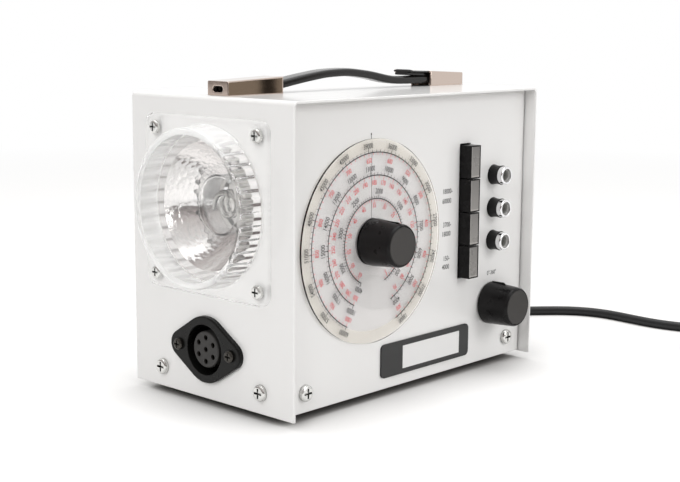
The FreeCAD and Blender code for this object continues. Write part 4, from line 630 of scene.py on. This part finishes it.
# Knobs: moulded black, tapered, with a chamfer round the front, a satin disc let into it and a
# raised pointer rib on top. The main one clamps the dial disc; the small one sets the phase.
def rib_bar(axis, wide, back, front, low, high):
    """A pointer rib with rounded top and ends: a bar whose half width is that of a half ellipse
    over its height, carried from its back to its front plane."""
    turn = np.linspace(0, math.pi, 13)
    across, up = wide / 2 * np.cos(turn), low + (high - low) * np.sin(turn) ** 0.6
    share = np.linspace(0, 1, 9)
    along = back + (front - back) * share
    ease = np.minimum(1, np.minimum(share, 1 - share) * 6 + 0.55)[:, None]
    return capped(axis[0] + across * ease, panel_y - along[:, None], axis[1] + low + (up - low) * ease)


knob_black = grained("knob_black", (0.0075, 0.007, 0.0072), 0.30, 0.0009, drift=0.12, spread=0.06,
                     relief=1e-5, specular=0.16)
knob_face = grained("knob_face", (0.036, 0.033, 0.031), 0.42, 0.0006, drift=0.06, spread=0.04,
                    relief=1.2e-5, specular=0.35)


def knob(name, axis, skirt, waist, front, face, rib_sizes, body):
    """A knob and its disc round axis: skirt and waist are (along, radius) of its back edge and of
    the start of its taper; the chamfer ends at the front on radius face, behind it a lip 0.5 mm
    wide and a floor 0.4 mm deep. The disc has a slight dish and an eased rim."""
    profile = eased([(skirt[0], 0.0, 0), (*skirt, 0.0003), (*waist, 0.0002),
                     (front - 0.0012, face + 0.00078, 0.0006), (front, face, 0.0004),
                     (front, face - 0.0005, 0.0002), (front - 0.0004, face - 0.0006, 0.0001),
                     (front - 0.0004, 0.0, 0)])
    moulding = piece(name + "_body", *joined([turned(profile, axis, 144), rib_bar(axis, *rib_sizes)]),
                     knob_black, body, "black_plastic")
    disc, rim = front + 0.0001, face - 0.0007
    profile = eased([(disc - 0.0009, 0.0, 0), (disc - 0.0009, rim, 0.0001), (disc, rim, 0.00025),
                     (disc - 0.00006, rim * 0.7, 0.002), (disc - 0.00012, 0.0, 0)])
    piece(name + "_cap", *turned(profile, axis, 96), knob_face, body, "black_plastic")
    return moulding


main_knob = knob("main_knob", dial_axis, (0.00318, 0.0132), (0.0049, 0.01318), 0.0238, 0.0111,
                 (0.0013, 0.0036, 0.0226, 0.0108, 0.01285), "dial")
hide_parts("main_knob")
hub_profile = eased([(0.0004, 0.0, 0), (0.0004, 0.0131, 0.0002), (0.00154, 0.0131, 0.0002),
                     (0.00154, 0.0, 0)], 4)
piece("dial_hub", *turned(hub_profile, dial_axis, 144), knob_black, "dial", "black_plastic")
phase_axis = (case_x + 0.1792, case_z + 0.0365)
phase_knob = knob("phase_knob", phase_axis, (0.0008, 0.0131), (0.0025, 0.01305), 0.0215, 0.01115,
                  (0.0016, 0.0009, 0.0123, 0.0112, 0.0138), "phase")
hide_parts("phase_knob")


# Range keys: four black caps on sprung stems, 8 mm proud of the panel, each with a smoked window
# clipped into its front. The windows are grey, paler towards the foot of each key with a painted
# highlight along the foot, and a painted highlight on their sides towards the lamp end.
def merged(name):
    """Points and faces of a copy of a solid's mesh, with its doubled points made one."""
    work = bmesh.new()
    work.from_mesh(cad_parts[name].data)
    bmesh.ops.remove_doubles(work, verts=work.verts, dist=1e-7)
    points = np.array([corner.co for corner in work.verts])
    faces = [[corner.index for corner in face.verts] for face in work.faces]
    work.free()
    return points, faces


def worked(tree, operation, *values):
    """The result of one sum on shader values."""
    return add(tree, "Math", enumerate(values), operation=operation)


key_black = grained("key_black", (0.0065, 0.006, 0.006), 0.26, 0.0009, drift=0.1, relief=6e-6,
                    edge=0.0003, specular=0.12)
smoke = grained("smoke_window", (0.19, 0.178, 0.166), 0.3, 0.0009, drift=0.05, relief=6e-6, edge=0.0003,
                sockets=[("Coat Weight", 0.4), ("Coat Roughness", 0.1)])
lowest_key, keys_per_metre = case_z + 0.0563, 50.0
tree = smoke.node_tree
place = place_parts(tree)
height = worked(tree, "MULTIPLY", worked(tree, "SUBTRACT", place["Z"], lowest_key), keys_per_metre)
# The ramp runs up each key: a painted highlight along the foot, then grey that darkens upward.
pale = add(tree, "ValToRGB", [(0, worked(tree, "FRACT", height))])
for spot, tone in [(0.075, 0.36), (0.10, 0.21), (0.45, 0.185), (0.95, 0.135)]:
    pale.node.color_ramp.elements.new(spot).color = (tone, tone * 0.945, tone * 0.89, 1)
for spare in (pale.node.color_ramp.elements[0], pale.node.color_ramp.elements[-1]):
    spare.color = (0.2, 0.19, 0.18, 1)
# Painted highlight: the sides of the windows towards the lamp end are coloured pale.
across = ranged(tree, place["X"], case_x + 0.1478, case_x + 0.1486)
painted_side_highlight = mixed(tree, across, (0.40, 0.385, 0.365, 1), pale)
tree.links.new(painted_side_highlight, tree.nodes["Principled BSDF"].inputs["Base Color"])
for number in "1234":
    for solid, name, finish, slot in (("key_", "key_cap_", key_black, "gloss_black"),
                                      ("key_window_", "key_pane_", smoke, "smoke_window")):
        points, faces = merged(solid + number)
        points[points[:, 1] < panel_y - 0.006, 1] += 0.0024
        key = piece(name + number, points, faces, finish, "key_" + number, slot, crisp=30)
        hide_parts(solid + number)


# Output jacks: waisted black collars, bright plated rings and grey inserts with a bore.
satin_black = grained("satin_black", (0.008, 0.0078, 0.0078), 0.34, 0.0006, drift=0.12, relief=1e-5,
                      edge=0.0004, specular=0.2)
chrome = grained("bright_chrome", (0.86, 0.86, 0.87), 0.05, 0.0012, drift=0.02, spread=0.02,
                 relief=1.5e-6, edge=0.0003, metallic=1.0)
give(satin_black, "jack_collars")
give(chrome, "jack_rings")
give(grey_insert, "jack_inserts")


# Plate under the dial: an anodised black plate with a pale field, stuck to the panel and kept
# bare of words.
plate_black = grained("plate_black", (0.010, 0.0098, 0.0098), 0.38, 0.0007, drift=0.1, relief=6e-6,
                      edge=0.0003, stretch=(0.15, 1, 1))
plate_white = grained("plate_field", (0.76, 0.755, 0.75), 0.42, 0.0007, drift=0.02, relief=5e-6,
                      edge=0.0002, stretch=(0.15, 1, 1))
give(plate_black, "name_plate")
give(plate_white, "plate_field")


# Handle: a glossy moulded strap, crowned over its front half, held down at both ends by bent
# caps of plated steel, the rear one with a black lip that ends in a bright corner. The shading of
# the plating leans up a little, so that it mirrors the room and not the top of the case.
nickel = grained("plated_steel", (0.60, 0.50, 0.44), 0.045, 0.0030, drift=0.04, spread=0.015,
                 relief=6e-6, edge=0.0008, stretch=(0.2, 1, 1), metallic=1.0)
tree = nickel.node_tree
shader = tree.nodes["Principled BSDF"]
plain_normal = shader.inputs["Normal"].links[0].from_socket
leant = add(tree, "VectorMath", [(0, plain_normal), (1, (0.0, 0.0, 0.06))])
leant = add(tree, "VectorMath", [(0, leant)], operation="NORMALIZE")
tree.links.new(leant, shader.inputs["Normal"])
give(nickel, "handle_cap_front")
rear_points, rear_faces = merged("handle_cap_rear")
rear_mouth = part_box("handle_cap_rear")[1].x - 0.0323
rear_points[:, 0] = np.maximum(rear_points[:, 0], rear_mouth - 0.0003)
rear_cap = piece("rear_cap", rear_points, rear_faces, nickel, "housing", "chrome_trim", crisp=30)
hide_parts("handle_cap_rear")


handle_y, case_top = case_y + 0.0626, case_z + 0.168


def squared(wave, power):
    """A cosine or sine raised to a power under one with its sign kept, so a circle goes square."""
    return np.sign(wave) * np.abs(wave) ** power


def lip_sheet(start, end, half, top, thick):
    """The lip left standing over the strap: a sheet carried from the cap's mouth to its free end,
    which lifts by a square law and closes in a rolled hem, its section a bar with round sides."""
    share = np.linspace(0, 1, 26)[:, None]
    turn = full_turn(32)
    across = (half - thick / 2) * squared(np.cos(turn), 0.25)
    closing = np.sqrt(np.clip(1 - ((share - 0.94) / 0.06).clip(0, 1) ** 2, 0, 1))
    hem = thick * (0.5 + 0.45 * np.clip((share - 0.84) / 0.1, 0, 1) * closing)
    rise = 0.0007 * share ** 2
    return capped(start + (end - start) * share, handle_y + across,
                  top - thick / 2 + rise + hem * squared(np.sin(turn), 0.5))


strap_black = grained("strap_black", (0.0085, 0.0078, 0.0073), 0.17, 0.0009, drift=0.12, spread=0.05,
                      relief=1.2e-5, stretch=(0.12, 1, 1), specular=0.36)
lip_shape = lip_sheet(rear_mouth + 0.0004, rear_mouth - 0.0178, 0.0075, case_top + 0.0094, 0.0012)
lip = piece("rear_cap_lip", *lip_shape, strap_black, "housing", "chrome_trim", crisp=50)
lip.data.materials.append(nickel)
for face in lip.data.polygons:
    face.material_index = int(face.center.x < rear_mouth - 0.0168 and face.center.y > handle_y + 0.0056)
strap_mouth, strap_flat, strap_lift = case_x + 0.0467, case_x + 0.152, 0.0041
crown = np.array([(0.003, 4.6), (0.183, 7.5), (0.364, 9.9), (0.544, 10.4), (0.725, 8.3), (0.896, 4.9),
                  (1.0, 4.1)])
strap_x = np.linspace(case_x + 0.0111, case_x + 0.2016, 220)
strap_rise = np.interp(strap_x, strap_mouth + crown[:, 0] * (strap_flat - strap_mouth), crown[:, 1] / 1000,
                       left=strap_lift, right=strap_lift)
soften = np.hanning(27)
strap_rise = np.convolve(np.pad(strap_rise, 13, mode="edge"), soften / soften.sum(), mode="valid")
strap_tilt = np.arctan(np.gradient(strap_rise, strap_x))[:, None]
section_y = 0.0063 * squared(np.cos(full_turn(40)), 0.42)
section_z = 0.0024 * squared(np.sin(full_turn(40)), 0.62)
strap_shape = capped(strap_x[:, None] - section_z * np.sin(strap_tilt), handle_y + section_y,
                     case_top + strap_rise[:, None] + section_z * np.cos(strap_tilt))
strap = piece("strap", *strap_shape, strap_black, "housing", "black_plastic", crisp=60)
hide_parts("handle_strap")


# Strap end: a black moulded wedge fills the cap's mouth over the strap and runs out under the
# lip, to which it is clipped by its turned-up nose. It is black to stand in for the shade under
# the lip, as painted shade.
def tongue(start, end, half, low, high):
    """A wedge carried from the cap's mouth to its nose: its top stays under the lip, its foot
    rises from the strap by a square-root law, and its section is a bar with eased edges."""
    share = np.linspace(0, 1, 24)[:, None]
    turn = full_turn(28)
    foot = low + (high - 0.0010 - low) * np.sqrt(share)
    top = high + 0.0007 * share ** 2
    return capped(start + (end - start) * share, handle_y + half * squared(np.cos(turn), 0.3),
                  (top + foot) / 2 + squared(np.sin(turn), 0.3) * (top - foot) / 2)


# Painted shade: this black wedge darkens the space under the lip.
shade_wedge_shape = tongue(rear_mouth + 0.004, rear_mouth - 0.0186, 0.0052, case_top + 0.0052, case_top + 0.0081)
piece("strap_shade_wedge", *shade_wedge_shape, strap_black, "housing", "black_plastic")


# Rear wall: the mains rocker in its bezel, the fuse holder's cap and the strain relief of the
# lead, all black mouldings, and the moulded plug at the lead's far end.
sheath = grained("cable_sheath", (0.0125, 0.0125, 0.013), 0.38, 0.0011, drift=0.15, spread=0.07,
                 relief=1e-5, specular=0.35)
give(satin_black, "fuse_holder", "rocker_bezel")
give(glossy_black, "mains_rocker")
give(rubber, "cord_gland")
give(sheath, "mains_plug")


# Mains lead: round black sheath, 6.2 mm thick and about 1.7 m long, out of the strain relief,
# down to the table and forward past the camera's view, where the spare length is coiled.
lead_route = [(0.1421, 0.03105, 0.026), (0.1609, 0.03125, 0.024), (0.1784, 0.03255, 0.015),
              (0.1944, 0.03005, 0.0065)]
lead_route += [(x, y, 0.00315) for x, y in [
    (0.2084, 0.02255), (0.2229, 0.01055), (0.2359, -0.00245), (0.2439, -0.01695), (0.2464, -0.03395),
    (0.2444, -0.05195), (0.2434, -0.07095), (0.2469, -0.08995), (0.2549, -0.10695),
    (0.2654, -0.12145), (0.2734, -0.13745), (0.276894, -0.154752)]]
coil_middle = (0.2294, -0.16095)
for step in range(1, 100):
    u = step / 16
    share = min(max(u - 3, 0) / 0.5, 1)
    radius = (47.35 - 6.9 * u if u < 3
              else 26.65 - 2.2 * math.sin(math.pi * share) ** 2 + 6.9 * max(u - 3.5, 0))
    rise = 3.15 + 6.7 * (share - math.sin(2 * math.pi * share) / (2 * math.pi))
    lead_route.append((coil_middle[0] + radius / 1000 * math.cos(2 * math.pi * u),
                       coil_middle[1] - radius / 1000 * math.sin(2 * math.pi * u), rise / 1000))
lead_route += [(x, y, 0.00985) for x, y in [
    (0.2294, -0.2068), (0.2232, -0.20672), (0.208206, -0.207086), (0.194331, -0.212422)]]
lead_curve = bpy.data.curves.new("mains_lead_sheath", "CURVE")
lead_curve.dimensions, lead_curve.use_fill_caps = "3D", True
lead_curve.bevel_depth, lead_curve.bevel_resolution, lead_curve.resolution_u = 0.0031, 5, 6
lead_line = lead_curve.splines.new("NURBS")
lead_line.points.add(len(lead_route) - 1)
lead_line.points.foreach_set("co", np.array([(*p, 1.0) for p in lead_route]).ravel())
lead_line.order_u, lead_line.use_endpoint_u = 3, True
lead_curve.materials.append(sheath)
lead = placed("mains_lead_sheath", lead_curve)
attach(lead, "housing")
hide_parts("mains_lead", "cord_coil")


# Table and backdrop: a wide pale sheet under the piece that goes over into white further off. It
# shows paler than it is lit, and a painted shadow darkens it close under the case, where it is shut in.
def rays(tree, *kinds):
    """1 for rays of any of these kinds, and 0 for all others."""
    path = add(tree, "LightPath").node.outputs
    found = path[kinds[0]]
    for kind in kinds[1:]:
        found = worked(tree, "MAXIMUM", found, path[kind])
    return found


table_white = bpy.data.materials.new("table_white")
table_white.use_nodes = True
tree = table_white.node_tree
tree.nodes.remove(tree.nodes["Principled BSDF"])
place = add(tree, "TexCoord", out="Object")
paper = add(tree, "TexNoise", [("Vector", place), ("Scale", 4.0), ("Detail", 3.0)])
tone = mixed(tree, paper, (0.60, 0.592, 0.585, 1), (0.63, 0.622, 0.615, 1))
# Painted shadow: where the sheet is shut in, its colour is darkened and its lift taken away.
painted_shadow_openness = add(tree, "AmbientOcclusion", [("Distance", 0.06)], samples=12, out="AO")
tone = mixed(tree, ranged(tree, painted_shadow_openness, 0.0, 0.42), (0.09, 0.082, 0.077, 1), tone)
matt = add(tree, "BsdfDiffuse", [("Color", tone)])
shows = rays(tree, "Is Camera Ray", "Is Glossy Ray", "Is Transmission Ray")
lift = worked(tree, "MULTIPLY", shows, ranged(tree, painted_shadow_openness, 0.36, 0.91, 0.0, 0.39))
lifted = add(tree, "AddShader", [(0, matt), (1, add(tree, "Emission", [("Strength", lift)]))])
distance = add(tree, "VectorMath", [(0, place)], operation="LENGTH", out="Value")
far = worked(tree, "MULTIPLY", ranged(tree, distance, 0.5, 1.5), shows)
white = add(tree, "Emission")
table_face = add(tree, "MixShader", [(0, far), (1, lifted), (2, white)])
tree.links.new(table_face, tree.nodes["Material Output"].inputs["Surface"])
sheet_x, sheet_y = np.meshgrid(np.linspace(-6, 6, 25), np.linspace(-6, 6, 25))
sheet = np.stack([sheet_x, sheet_y, np.zeros((25, 25))], -1).reshape(-1, 3)
table_mesh = bpy.data.meshes.new("table")
table_mesh.from_pydata(sheet.tolist(), [], grid_faces(25, 25, closed=False).tolist())
table_mesh.materials.append(table_white)
table = placed("table", table_mesh)


# Room: white all round for the eye, half as strong as a light, and in reflections and through
# glass a dim room on the lamp's side, dark at the height of the table's edge.
world = bpy.data.worlds.new("room")
world.use_nodes = True
bpy.context.scene.world = world
tree = world.node_tree
base = tree.nodes["Background"]
base.inputs["Color"].default_value = (1.0, 0.995, 0.985, 1)
base.inputs["Strength"].default_value = 0.5
direction = add(tree, "TexCoord", out="Generated")
rise = add(tree, "SeparateXYZ", [(0, direction)], out="Z")
dim = add(tree, "ValToRGB", [(0, rise)])
dim.node.color_ramp.elements[0].color = (1, 1, 1, 1)
dim.node.color_ramp.elements[1].color = (0.80, 0.78, 0.77, 1)
for spot, tone in [(0.02, (0.95, 0.94, 0.93, 1)), (0.04, (0.08, 0.06, 0.055, 1)),
                   (0.20, (0.15, 0.12, 0.115, 1)), (0.40, (0.46, 0.41, 0.40, 1)),
                   (0.7, (0.62, 0.59, 0.58, 1))]:
    dim.node.color_ramp.elements.new(spot).color = tone
lamp_side = (-0.98, -0.2, 0.0)
front = add(tree, "VectorMath", [(0, direction), (1, lamp_side)], operation="DOT_PRODUCT", out="Value")
mirrored = mixed(tree, ranged(tree, front, 0.0, 0.35), (1, 1, 1, 1), dim)
mirror_room = add(tree, "Background", [("Color", mirrored)])
room_white = add(tree, "Background", [("Color", (1, 1, 1, 1))])
either = rays(tree, "Is Glossy Ray", "Is Transmission Ray")
glossy = add(tree, "MixShader", [(0, either), (1, base.outputs[0]), (2, mirror_room)])
whole = add(tree, "MixShader", [(0, rays(tree, "Is Camera Ray")), (1, glossy), (2, room_white)])
tree.links.new(whole, tree.nodes["World Output"].inputs["Surface"])


# Cards: two dark cards stand off to the right, out of view, for bright metal to reflect. They
# show in reflections alone and take no light from the piece.
def card(name, middle, wide, high, colour):
    """An upright card that faces the middle of the table, seen only in reflections."""
    middle = np.array(middle, float)
    across = np.array([-middle[1], middle[0], 0]) / np.hypot(middle[0], middle[1]) * wide / 2
    up = np.array([0, 0, high / 2])
    mesh = bpy.data.meshes.new(name)
    corners = [middle + a * across + b * up for a, b in ((-1, -1), (1, -1), (1, 1), (-1, 1))]
    mesh.from_pydata(np.array(corners).tolist(), [], [[0, 1, 2, 3]])
    dark = bpy.data.materials.new(name)
    dark.use_nodes = True
    dark.node_tree.nodes.remove(dark.node_tree.nodes["Principled BSDF"])
    glow = add(dark.node_tree, "Emission", [("Color", (*colour, 1))])
    dark.node_tree.links.new(glow, dark.node_tree.nodes["Material Output"].inputs["Surface"])
    mesh.materials.append(dark)
    thing = placed(name, mesh)
    thing.visible_camera = thing.visible_diffuse = thing.visible_shadow = thing.visible_transmission = False


card("brown_card", (0.529, -0.689, 0.29), 0.19, 0.58, (0.30, 0.265, 0.215))
card("black_card", (0.483, -0.5745, 0.265), 0.018, 0.53, (0.015, 0.012, 0.01))


# Lamps: a broad soft one overhead and two at the sides of the camera, at a plain level.
def soft_lamp(name, place, aim, size, power, mirrored=True):
    """A square soft lamp at place, turned to face aim; mirrored lets polished pieces show it."""
    light = bpy.data.lights.new(name, "AREA")
    light.shape, light.size, light.energy = "SQUARE", size, power
    thing = placed(name, light)
    away = np.array(place, float) - np.array(aim, float)
    heading = math.atan2(away[1], away[0])
    tip = math.acos(away[2] / np.linalg.norm(away))
    thing.matrix_world = (Matrix.Translation(place) @ Matrix.Rotation(heading, 4, "Z")
                          @ Matrix.Rotation(tip, 4, "Y"))
    thing.visible_glossy = thing.visible_transmission = mirrored


soft_lamp("overhead", (0.1, 0.1, 1.7), (0, 0, 0.1), 1.4, 15)
soft_lamp("left_front", (-1.7, -0.4, 1.1), (0, 0, 0.1), 1.0, 17, mirrored=False)
soft_lamp("right_front", (0.5, -1.8, 1.0), (0, 0, 0.1), 1.0, 16)


# Camera: at the photograph's place, low and to the left front of the case.
camera_data = bpy.data.cameras.new("camera")
camera_data.lens, camera_data.sensor_width, camera_data.sensor_fit = 70.51, 36.0, "HORIZONTAL"
camera_data.clip_start, camera_data.clip_end = 0.02, 60
camera = placed("camera", camera_data)
camera.matrix_world = (Matrix.Translation((-0.57798, -0.53179, 0.21359))
                       @ Matrix.Rotation(math.radians(-47.053), 4, "Z")
                       @ Matrix.Rotation(math.radians(90 - 9.494), 4, "X")
                       @ Matrix.Rotation(math.radians(0.368), 4, "Z"))
bpy.context.scene.camera = camera
bpy.context.scene.view_settings.view_transform = "Standard"
